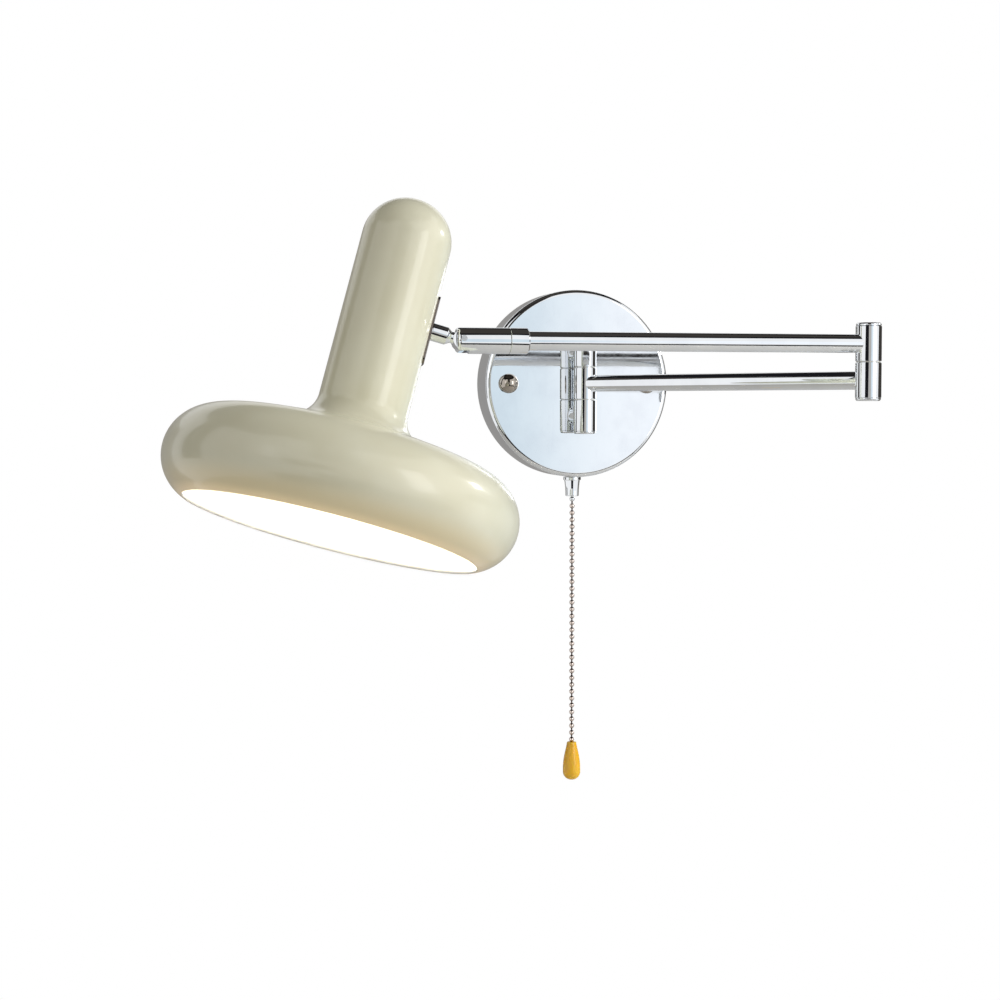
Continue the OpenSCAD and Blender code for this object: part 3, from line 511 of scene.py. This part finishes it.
def enamel(name, light, dark, glow):
    """Glossy enamel with an orange peel and painted light: warmer under the rim, and glow is the
    strength of a glow painted near the lip.
    """
    paint = Paint(name)
    mottle = paint.cloud(0.03, detail=3.0).step(0.3, 0.7)
    peel = paint.cloud(0.0022, detail=1.5)
    turn = shade_frame.to_euler()
    spot = paint.place(tuple(shade_frame.translation), tuple(turn))
    split = paint.node("ShaderNodeSeparateXYZ", None, {"Vector": spot})
    height = Wire(paint, split.outputs["Z"])
    # Painted bounce light under the rim, and a painted glow near the lip.
    under = 1.0 - height.step(*PAINTED_BOUNCE_RISE)
    near = 1.0 - height.step(*LIP_RISE)
    base = paint.blend(light, dark, mottle)
    return paint.surface(
        Base_Color=paint.blend(base, PAINTED_BOUNCE_CREAM, under * PAINTED_BOUNCE_SHARE),
        Roughness=0.28 + peel * 0.06,
        Coat_Weight=0.55,
        Coat_Roughness=0.09,
        Emission_Color=paint.blend(NO_LIGHT, PAINTED_LAMP_GLOW, near * glow),
        Emission_Strength=1.0,
        Normal=paint.bump(peel, 0.000006),
    )


cream_enamel = enamel("cream_enamel", rgb(229, 227, 205), rgb(225, 222, 198), PAINTED_LAMP_GLOW_SHARE)
print("made", cream_enamel.name)

# %% [markdown]
# The inside is a plain white enamel that throws the light out. Close to a lit bulb
# it is the brightest thing in the picture. The lip itself is painted grey: painted
# shade on the thin rolled edge, which catches less light.

# %% White inside
def reflector():
    """White enamel inside the shade, lit by the bulb."""
    paint = Paint("white_inside")
    mottle = paint.cloud(0.02).step(0.3, 0.7)
    peel = paint.cloud(0.0022, detail=1.5)
    return paint.surface(
        Base_Color=paint.blend(rgb(250, 248, 242), rgb(246, 243, 235), mottle),
        Roughness=0.35 + peel * 0.05,
        Normal=paint.bump(peel, 0.000006),
    )


white_inside = reflector()
# lip_shade is painted shade: a grey for the rolled edge, which catches less light.
lip_shade = moulded("lip_shade", rgb(178, 179, 180), rgb(168, 169, 170), 0.4, 0.0008, 0.00001)
print("made", white_inside.name, lip_shade.name)

# %% [markdown]
# ## The shade
# The shade is one spun sheet. From the top its section is a round dome, a straight
# stem, a small outward curve, a shallow shoulder and a fat round rim that turns
# back under itself to the opening. The metal's edge is rolled round, so the
# inside profile joins the outside one with a small half circle.

# %% Shade profile
RIM_R, LIP_OUT = 24.0, 9.0
SHADE = {
    "wall": 1.2, "height": 178.0, "stem": 23.2, "dome": 22.5, "rim": RIM_R, "rim_at": 67.5,
    "rim_up": math.sqrt(RIM_R ** 2 - LIP_OUT ** 2), "rise": 12.0, "fillet": 14.0,
}
DOME_STEPS, BEND_STEPS, RIM_STEPS, EDGE_STEPS, ROUND_STEPS = 28, 18, 60, 8, 192


def shade_side(inset):
    """The section from the top to the lip, moved inwards by inset: a quarter ellipse, a line,
    an arc that bends out, a line along the shoulder, and the arc of the rim."""
    s = SHADE
    tilt = math.radians(s["rise"])
    shoulder = (s["rim_at"] + s["rim"] * math.sin(tilt), s["rim_up"] + s["rim"] * math.cos(tilt))
    bend = (s["stem"] + s["fillet"], shoulder[1] + (
        s["fillet"] - (s["stem"] + s["fillet"] - shoulder[0]) * math.sin(tilt)) / math.cos(tilt))
    quarter = np.radians(np.linspace(90.0, 0.0, DOME_STEPS + 1))
    dome = np.stack([(s["stem"] - inset) * np.cos(quarter),
                     s["height"] - s["dome"] + (s["dome"] - inset) * np.sin(quarter)], 1)
    dome[0, 0] = 0.0
    lip = -math.degrees(math.asin(s["rim_up"] / s["rim"]))
    turn_out = arc(bend, s["fillet"] + inset, 180.0, 270.0 - s["rise"], BEND_STEPS)
    rim = arc((s["rim_at"], s["rim_up"]), s["rim"] - inset, 90.0 - s["rise"], lip, RIM_STEPS)
    stem = np.stack([np.full(6, s["stem"] - inset),
                     np.linspace(dome[-1, 1], turn_out[0, 1], 8)[1:-1]], 1)
    shoulder_run = turn_out[-1] + (rim[0] - turn_out[-1]) * np.linspace(0.0, 1.0, 6)[1:-1, None]
    return np.concatenate([dome, stem, turn_out, shoulder_run, rim]), lip


outside, lip_angle = shade_side(0.0)
inside, _ = shade_side(SHADE["wall"])
edge_middle = (outside[-1] + inside[-1]) / 2
edge = arc(edge_middle, SHADE["wall"] / 2, lip_angle, lip_angle - 180.0, EDGE_STEPS)[1:-1]
section = np.concatenate([outside, edge, inside[::-1]])
print("shade section:", len(section), "points, opening", round(2 * float(outside[-1, 0]), 2), "mm")

# %% [markdown]
# The profile is spun about the stem's axis. Each face remembers the row of the
# profile that it came from, so the outside takes the cream enamel, the rolled edge
# the grey of painted shade and the inside the white.

# %% Spin the shade
points, quads = lathe(section, ROUND_STEPS)
faces, row = tidy_faces(quads)
# From lip_start the rolled edge takes the grey painted shade.
lip_start = len(outside) + 1
inside_start = len(outside) + len(edge) + 1
which = np.where(row < lip_start, 0, np.where(row < inside_start, 2, 1))
piece("spun_shade", points, faces, shade_frame, "head",
      [cream_enamel, white_inside, lip_shade], ["lamp_shade"], which)

# %% [markdown]
# ## The bulb
# A small globe bulb stands in the holder. Only its light shows in the photograph, but
# a hand that tilts the head up finds it. The opal glass is lit from within and
# spreads the light evenly, so the whole globe is one soft lamp.

# %% Bulb
OPAL_GLOW = 14.0


def lit_opal():
    """Opal glass with the lamp on."""
    paint = Paint("lit_opal")
    faint = paint.cloud(0.02).step(0.3, 0.8)
    return paint.surface(
        Base_Color=paint.blend(rgb(252, 250, 245), rgb(247, 244, 236), faint),
        Roughness=0.12 + faint * 0.04,
        Coat_Weight=0.5,
        Coat_Roughness=0.03,
        Emission_Color=paint.blend((1.0, 0.93, 0.82, 1.0), (1.0, 0.90, 0.76, 1.0), faint),
        Emission_Strength=OPAL_GLOW,
    )


opal = lit_opal()
GLOBE_R, GLOBE_UP, GLOBE_NECK, GLASS = 22.5, 47.5, 58.75, 1.2
neck_angle = math.degrees(math.asin((GLOBE_NECK - GLOBE_UP) / GLOBE_R))
outer_glass = arc((0.0, GLOBE_UP), GLOBE_R, -90.0, neck_angle, 48)
inner_glass = arc((0.0, GLOBE_UP), GLOBE_R - GLASS, neck_angle, -90.0, 32)
outer_glass[0, 0] = inner_glass[-1, 0] = 0.0
points, quads = lathe(np.concatenate([outer_glass, inner_glass]), 96)
faces, _ = tidy_faces(quads)
piece("opal_globe", points, faces, shade_frame, "head", [opal], ["bulb_globe"])

# %% [markdown]
# ## The wall plate
# The plate is a deep chromed dish. Its face is so large and so flat that any error
# in its shading would bend the whole mirror image, so it is spun here from a profile with
# support rings: extra points just beside each corner, which keep the flat face flat
# to within a hair of the rounded edge.

# %% Wall plate
PLATE_R, PLATE_DEEP, PLATE_WALL, PLATE_EDGE, BURR = 58.0, 28.0, 1.2, 3.0, 0.25
edge_centre = (PLATE_R - PLATE_EDGE, PLATE_DEEP - PLATE_EDGE)
front_edge = arc(edge_centre, PLATE_EDGE, 90.0, 0.0, 14)
back_edge = arc(edge_centre, PLATE_EDGE - PLATE_WALL, 0.0, 90.0, 8)
dish = np.concatenate([
    [[0.0, PLATE_DEEP]], front_edge, [[PLATE_R, BURR], [PLATE_R - BURR, 0.0]],
    [[PLATE_R - PLATE_WALL + BURR, 0.0], [PLATE_R - PLATE_WALL, BURR]], back_edge,
    [[0.0, PLATE_DEEP - PLATE_WALL]],
])
points, quads = lathe(with_support(dish, 0.2), ROUND_STEPS)
faces, _ = tidy_faces(quads)
piece("spun_plate", points, faces, wall_frame, "wall_unit", [chrome], ["wall_plate"])

# %% [markdown]
# ## Nozzle, chain and knob
# The pull chain leaves the plate through a small bell-mouthed nozzle. Its beads are
# hollow balls pinched onto short links, so between two balls there is a little waist.
# One profile carries all of them: half a circle for each ball and a straight
# run for each link. The nozzle itself opens with the square of the height, from
# its mouth up to the collar that sits against the plate.

# %% Nozzle
NOZZLE_TOP, NOZZLE_LONG, NOZZLE_R, BORE_R, BUSHING_R = -58.25, 12.0, 5.5, 2.1, 4.22
MOUTH_SHARE, MOUTH_ROUND, COLLAR_LONG, COLLAR_ROUND, SEAT_DEEP = 0.76, 0.5, 2.0, 0.3, 4.0
BELL_OUT, CHAMFER = NOZZLE_R * 0.24 - 0.6, 0.3
climb = np.linspace(0.0, 1.0, 25)
bell = np.stack([NOZZLE_R * MOUTH_SHARE + BELL_OUT * climb ** 2,
                 MOUTH_ROUND + (NOZZLE_LONG - MOUTH_ROUND - COLLAR_LONG) * climb], 1)
mouth = arc((NOZZLE_R * MOUTH_SHARE - MOUTH_ROUND, MOUTH_ROUND), MOUTH_ROUND, -90.0, 0.0, 6)[:-1]
collar = arc((NOZZLE_R - COLLAR_ROUND, NOZZLE_LONG - COLLAR_LONG + COLLAR_ROUND),
             COLLAR_ROUND, -90.0, 0.0, 4)
shoulder = arc((NOZZLE_R - COLLAR_ROUND, NOZZLE_LONG - COLLAR_ROUND), COLLAR_ROUND, 0.0, 90.0, 4)
bore = np.array([[BUSHING_R, NOZZLE_LONG], [BUSHING_R, NOZZLE_LONG - SEAT_DEEP],
                 [BORE_R, NOZZLE_LONG - SEAT_DEEP], [BORE_R, CHAMFER], [BORE_R + CHAMFER, 0.0]])
turned = with_support(np.concatenate([mouth, bell, collar, shoulder, bore]), 0.1)
points, quads = lathe(turned, 72, closed=True)
faces, _ = tidy_faces(quads)
nozzle_frame = switch_frame @ Matrix.Translation((0.0, 0.0, (NOZZLE_TOP - NOZZLE_LONG) * MM))
piece("bell_nozzle", points, faces, nozzle_frame, "wall_unit", [chrome],
      ["switch_nozzle"])

# %% [markdown]
# The balls are plated pale, and each is painted dark brown where the link enters:
# painted shade in the waist between two balls. A ping-pong of the height gives the
# distance to the nearest ball's middle, and the colour follows it.

# %% Chain plating
PALE_FROM, DARK_FROM = 0.0007, 0.0013


def chain_plating(first_ball, pitch):
    """Plated steel, pale round each ball's middle, with painted shade in dark brown near the
    links.
    """
    paint = Paint("plated_beads")
    below = paint.place((0.0, 0.0, first_ball * MM))
    spot = paint.node("ShaderNodeSeparateXYZ", None, {"Vector": below})
    drop = Wire(paint, spot.outputs["Z"])
    away = paint.wire("ShaderNodeMath", {"operation": "PINGPONG"}, {0: drop, 1: pitch / 2 * MM})
    # Painted shade: dark brown where a link enters a ball.
    painted_waist_shade = away.step(PALE_FROM, DARK_FROM)
    worn = paint.cloud(0.002).step(0.3, 0.7)
    return paint.surface(
        Base_Color=paint.blend(rgb(236, 222, 214), rgb(74, 54, 46), painted_waist_shade * 0.9 + worn * 0.1),
        Metallic=1.0,
        Roughness=0.12 + worn * 0.08,
    )


# %% [markdown]
# The chain's own profile starts under the last ball inside the nozzle, at a hair's
# distance, and its last link ends in the knob.

# %% Ball chain
BEAD_R, BEAD_PITCH, BEAD_COUNT, LINK_R = 1.6, 4.35, 35, 0.45
CHAIN_TOP, KNOB_SEAT, HAIR = -72.15, 2.0, 0.02
pinch = math.degrees(math.asin(LINK_R / BEAD_R))


def ball(height):
    """Half a circle about (0, height), open at both ends where the link enters."""
    return arc((0.0, height), BEAD_R, 90.0 - pinch, -90.0 + pinch, 12)


balls = [ball(CHAIN_TOP - BEAD_PITCH * (k + 1)) for k in range(BEAD_COUNT)]
KNOB_TOP = CHAIN_TOP - BEAD_PITCH * BEAD_COUNT - BEAD_R
LINK_END = CHAIN_TOP - BEAD_R - HAIR
first_link = [[0.0, LINK_END], [LINK_R, LINK_END]]
last_link = [[LINK_R, KNOB_TOP - KNOB_SEAT], [0.0, KNOB_TOP - KNOB_SEAT]]
points, quads = lathe(np.concatenate([first_link, *balls, last_link]), 20)
faces, _ = tidy_faces(quads)
plated_beads = chain_plating(CHAIN_TOP - BEAD_PITCH, BEAD_PITCH)
piece("ball_chain", points, faces, switch_frame, "pull_chain", [plated_beads],
      ["bead_chain"])

# %% [markdown]
# The knob is turned from amber plastic. Its colour is painted lighter and more
# yellow at the fat end and darker at the thin top, a painted glow for the light that
# gathers in the fat end, and a thin coat gives it a soft polish. The foot of its
# profile is r = w sin(a)^0.9 and z = h (1 - cos a), and the body narrows from there
# to the neck.

# %% Knob
KNOB_LONG, KNOB_WIDE, KNOB_TOP_ROUND = 24.0, 5.5, 0.35
KNOB_NECK, KNOB_ROUND = 2 * KNOB_WIDE * 0.27, KNOB_WIDE * 0.95
HOLE_R, HOLE_DEEP = 0.5, 3.0


def amber_plastic():
    """Amber plastic, painted lighter and more yellow towards the fat end as a painted glow."""
    paint = Paint("amber")
    spot = paint.place((0.0, SWITCH_Y, (KNOB_TOP - KNOB_LONG) * MM))
    split = paint.node("ShaderNodeSeparateXYZ", None, {"Vector": spot})
    # Painted glow: the colour runs from lighter at the fat end to darker at the top.
    height = Wire(paint, split.outputs["Z"]).step(0.001, 0.024)
    streak = paint.cloud(0.003, paint.place(stretch=(1.0, 1.0, 5.0)))
    return paint.surface(
        Base_Color=paint.blend(rgb(247, 196, 48), rgb(238, 178, 36), height * 0.5 + streak * 0.2),
        Roughness=0.24 + streak * 0.06,
        Coat_Weight=0.12,
        Coat_Roughness=0.1,
        Subsurface_Weight=0.25,
        Subsurface_Radius=(0.006, 0.003, 0.0008),
        Subsurface_Scale=1.0,
    )


amber = amber_plastic()
foot_angle = np.radians(np.linspace(0.0, 90.0, 25))
foot = np.stack([KNOB_WIDE * np.sin(foot_angle) ** 0.9,
                 KNOB_ROUND * (1.0 - np.cos(foot_angle))], 1)
share = np.linspace(0.0, 1.0, 33)[1:]
body_line = np.stack([
    KNOB_WIDE + (KNOB_NECK - KNOB_WIDE) * (1.0 - np.cos(np.pi * share)) / 2 * share,
    KNOB_ROUND + (KNOB_LONG - KNOB_TOP_ROUND - KNOB_ROUND) * share], 1)
cap_centre = (KNOB_NECK - KNOB_TOP_ROUND, KNOB_LONG - KNOB_TOP_ROUND)
cap = arc(cap_centre, KNOB_TOP_ROUND, 0.0, 90.0, 5)[1:]
hole = [[HOLE_R, KNOB_LONG], [HOLE_R, KNOB_LONG - HOLE_DEEP], [0.0, KNOB_LONG - HOLE_DEEP]]
knob_frame = switch_frame @ Matrix.Translation((0.0, 0.0, (KNOB_TOP - HAIR - KNOB_LONG) * MM))
points, quads = lathe(with_support(np.concatenate([foot, body_line, cap, hole]), 0.1), 64)
faces, _ = tidy_faces(quads)
piece("amber_knob", points, faces, knob_frame, "pull_chain", [amber], ["pull_knob"])

# %% [markdown]
# ## The room
# A mirror needs a room. The lamp stands in a white world, and dark and pale
# cards that only reflections see give the chrome its bands, as black flags do in
# a product studio. A card is a patch of a big sphere round the lamp, given by its
# azimuth (0 in front, positive to the right) and its elevation.

# %% White world
AMBIENT = 0.39
world = bpy.data.worlds.new("white_studio")
world.use_nodes = True
bpy.context.scene.world = world
sky = Paint("white_studio", world.node_tree)
path = sky.node("ShaderNodeLightPath")
seen = Wire(sky, path.outputs["Is Camera Ray"]) + Wire(sky, path.outputs["Is Glossy Ray"])
seen = (seen + Wire(sky, path.outputs["Is Transmission Ray"])).step(0.0, 0.5)
tone = sky.blend((1.0, 0.97, 0.89, 1.0), (1.0, 1.0, 1.0, 1.0), seen)
backdrop = sky.node("ShaderNodeBackground", None, {"Color": tone,
                                                   "Strength": AMBIENT + (1.0 - AMBIENT) * seen})
sky_out = sky.node("ShaderNodeOutputWorld")
sky.tree.links.new(backdrop.outputs[0], sky_out.inputs["Surface"])
print("world ambient", AMBIENT)

# %% [markdown]
# A card is an emitter of one colour, or of two with a smooth change between them.
# The places and tones below were moved about until the bands on the tubes and the
# patches on the wall plate lay where the photograph has them.

# %% Cards for the chrome
def glow_material(name, colour, right=None, span=(0.0, 1.0)):
    """An emitter, plain or running from one colour to another between two places along X."""
    paint = Paint(name)
    shown = (*colour, 1.0)
    if right is not None:
        spot = paint.node("ShaderNodeSeparateXYZ", None, {"Vector": paint.place()})
        across = Wire(paint, spot.outputs["X"])
        shown = paint.blend(shown, (*right, 1.0), across.step(*span))
    lit = paint.node("ShaderNodeEmission", None, {"Color": shown, "Strength": 1.0})
    out = paint.node("ShaderNodeOutputMaterial")
    paint.tree.links.new(lit.outputs[0], out.inputs["Surface"])
    return paint.material


def stage_mesh(name, points, faces, material):
    """A stage object that isn't part of the lamp."""
    mesh = bpy.data.meshes.new(name)
    mesh.from_pydata(points, [], faces)
    mesh.materials.append(material)
    mesh.update()
    made = bpy.data.objects.new(name, mesh)
    bpy.context.scene.collection.objects.link(made)
    return made


def mirror_only(made):
    """Only reflections see it: it lights nothing and casts no shadow."""
    made.visible_camera = made.visible_diffuse = made.visible_shadow = False
    made.visible_transmission = made.visible_volume_scatter = False


ROOM_CENTRE = np.array([-0.06, -0.12, 0.0])


def card(name, azimuth, elevation, colour, radius, **gradient):
    """A patch of a sphere: x = sin a cos e, y = -cos a cos e, z = sin e, times the radius."""
    across, up = np.linspace(*azimuth, 25), np.linspace(*elevation, 17)
    a, e = np.meshgrid(np.radians(across), np.radians(up))
    way = np.stack([np.sin(a) * np.cos(e), -np.cos(a) * np.cos(e), np.sin(e)], -1)
    points = radius * way + ROOM_CENTRE
    index = np.arange(a.size).reshape(a.shape)
    quads = np.stack([index[:-1, :-1], index[:-1, 1:], index[1:, 1:], index[1:, :-1]], -1)
    shine = glow_material(name, colour, **gradient)
    mirror_only(stage_mesh(name, points.reshape(-1, 3), quads.reshape(-1, 4).tolist(), shine))


BLACK, COAL, DARK = (0.01, 0.01, 0.012), (0.03, 0.03, 0.03), (0.05, 0.045, 0.04)
SLATE, GREY, STONE = (0.22, 0.21, 0.19), (0.32, 0.31, 0.30), (0.52, 0.50, 0.47)
BEIGE, PALE_BLUE, DAYLIGHT = (0.68, 0.62, 0.51), (0.74, 0.85, 0.92), (1.05, 1.08, 1.12)

# Name, azimuth from and to, elevation from and to, colour, radius in metres
CARDS = [
    ("flag_overhead", (-180, 180), (58, 90), DARK, 2.9),
    ("flag_top_edge", (-180, 180), (47, 60), BLACK, 2.88),
    ("flag_behind_high", (110, 250), (36, 48), DARK, 2.85),
    ("flag_side_left", (-124, -104), (-10, 47), DARK, 2.8),
    ("flag_top_left", (-104, -60), (40, 48), DARK, 2.8),
    ("flag_front_high", (-28, 4), (13, 48), DARK, 2.75),
    ("flag_front_low", (-30, 6), (-24, -12), BLACK, 2.75),
    ("flag_low_strip", (-60, 60), (-36, -22), COAL, 2.5),
    ("flag_left", (-47, -17), (-4, 7), BLACK, 2.7),
    ("card_front", (-17, 4), (-12, 13), STONE, 2.65),
    ("card_plate", (4, 28), (-12, 12), PALE_BLUE, 2.6),
    ("flag_right", (74, 142), (-4, 6), DARK, 2.7),
    ("grey_right", (92, 142), (-37, 36), SLATE, 2.8),
    ("card_behind", (142, 222), (-30, 16), GREY, 2.75),
    ("floor_glow", (-180, 180), (-88, -36), BEIGE, 2.75),
]
# The card that the wall plate mirrors is blue on its left and daylight on its right.
GRADIENTS = {"card_plate": {"right": DAYLIGHT, "span": (0.47, 0.80)}}
for row in CARDS:
    card(*row, **GRADIENTS.get(row[0], {}))
print(len(CARDS), "cards")

# %% [markdown]
# ## Light
# The light is plain and soft: a window on the right that draws the streak down the
# stem, a small box beyond it for the spark on the rim, a big one for the light itself,
# a weaker one above the front, the bounce from a table below, a cool one behind the
# right that takes the yellow off the edges there, and a weak fill on the left. Boxes
# that would draw a patch on the enamel are kept out of reflections. A surface that
# faces the right renders about in the colour that its material says.

# %% Softboxes
def softbox(name, azimuth, elevation, distance, width, height, watts, colour, mirrored):
    """An area lamp that looks at the middle from a direction and a distance in metres."""
    data = bpy.data.lights.new(name, "AREA")
    data.shape, data.size, data.size_y = "RECTANGLE", width, height
    data.energy, data.color = watts, colour
    made = bpy.data.objects.new(name, data)
    a, e = math.radians(azimuth), math.radians(elevation)
    way = Vector((math.sin(a) * math.cos(e), -math.cos(a) * math.cos(e), math.sin(e)))
    made.location = Vector(ROOM_CENTRE) + way * distance
    made.rotation_euler = way.to_track_quat("Z", "Y").to_euler()
    made.visible_camera, made.visible_glossy = False, mirrored
    bpy.context.scene.collection.objects.link(made)


PLAIN, WARM, COOL = (1.0, 1.0, 1.0), (1.0, 0.96, 0.89), (0.5, 0.7, 1.0)

# Name, azimuth, elevation, distance, width, height, watts, colour, seen in reflections
SOFTBOXES = [
    ("window", 38, 8, 2.2, 0.7, 1.3, 8.0, PLAIN, True),
    ("spark", 97, 18, 2.2, 0.36, 0.28, 4.5, PLAIN, True),
    ("key_box", 62, 20, 2.3, 1.2, 1.4, 24.5, PLAIN, False),
    ("front_box", 30, 50, 2.3, 0.9, 0.6, 2.5, PLAIN, False),
    ("table_bounce", 48, -45, 2.0, 1.2, 1.0, 20.0, WARM, False),
    ("cool_side", 120, -12, 2.3, 1.0, 1.2, 21.0, COOL, False),
    ("fill_box", -55, 15, 2.4, 0.5, 0.9, 1.0, PLAIN, True),
]
for row in SOFTBOXES:
    softbox(*row)
print(len(SOFTBOXES), "softboxes")

# %% [markdown]
# ## The floor
# A pale floor lies well below the lamp, outside the photograph's view. The camera
# sees it nearly white, with the lamp's soft shadow on it.

# %% Floor
FLOOR_Z, FLOOR_R, FLOOR_STEPS, FLOOR_WHITE = -0.9, 1.35, 96, 0.82


def floor_paint():
    """Mostly white to the camera, with some of a matt shader so that shadows show."""
    paint = Paint("pale_floor")
    path = paint.node("ShaderNodeLightPath")
    direct = Wire(paint, path.outputs["Is Camera Ray"])
    direct = (direct + Wire(paint, path.outputs["Is Transmission Ray"])).step(0.0, 0.5)
    speck = paint.cloud(0.05).step(0.3, 0.7)
    matt = paint.node("ShaderNodeBsdfDiffuse", None, {
        "Color": paint.blend((0.78, 0.76, 0.73, 1.0), (0.75, 0.73, 0.70, 1.0), speck)})
    white = paint.node("ShaderNodeEmission", None, {
        "Color": (1.0, 1.0, 1.0, 1.0), "Strength": 1.0})
    mix = paint.node("ShaderNodeMixShader", None, {0: direct * FLOOR_WHITE})
    paint.tree.links.new(matt.outputs[0], mix.inputs[1])
    paint.tree.links.new(white.outputs[0], mix.inputs[2])
    out = paint.node("ShaderNodeOutputMaterial")
    paint.tree.links.new(mix.outputs[0], out.inputs["Surface"])
    return paint.material


ring = np.linspace(0.0, 2.0 * np.pi, FLOOR_STEPS, endpoint=False)
round_edge = FLOOR_R * np.stack([np.cos(ring), np.sin(ring), np.zeros(FLOOR_STEPS)], 1)
floor_points = np.concatenate([[[0.0, 0.0, 0.0]], round_edge]) + ROOM_CENTRE + [0.0, 0.0, FLOOR_Z]
floor_faces = [[0, 1 + k, 1 + (k + 1) % FLOOR_STEPS] for k in range(FLOOR_STEPS)]
stage_mesh("floor", floor_points, floor_faces, floor_paint())
print("floor at", FLOOR_Z)

# %% [markdown]
# ## Finish
# The colours go out as they are written.

# %% Finish
bpy.context.scene.view_settings.view_transform = "Standard"
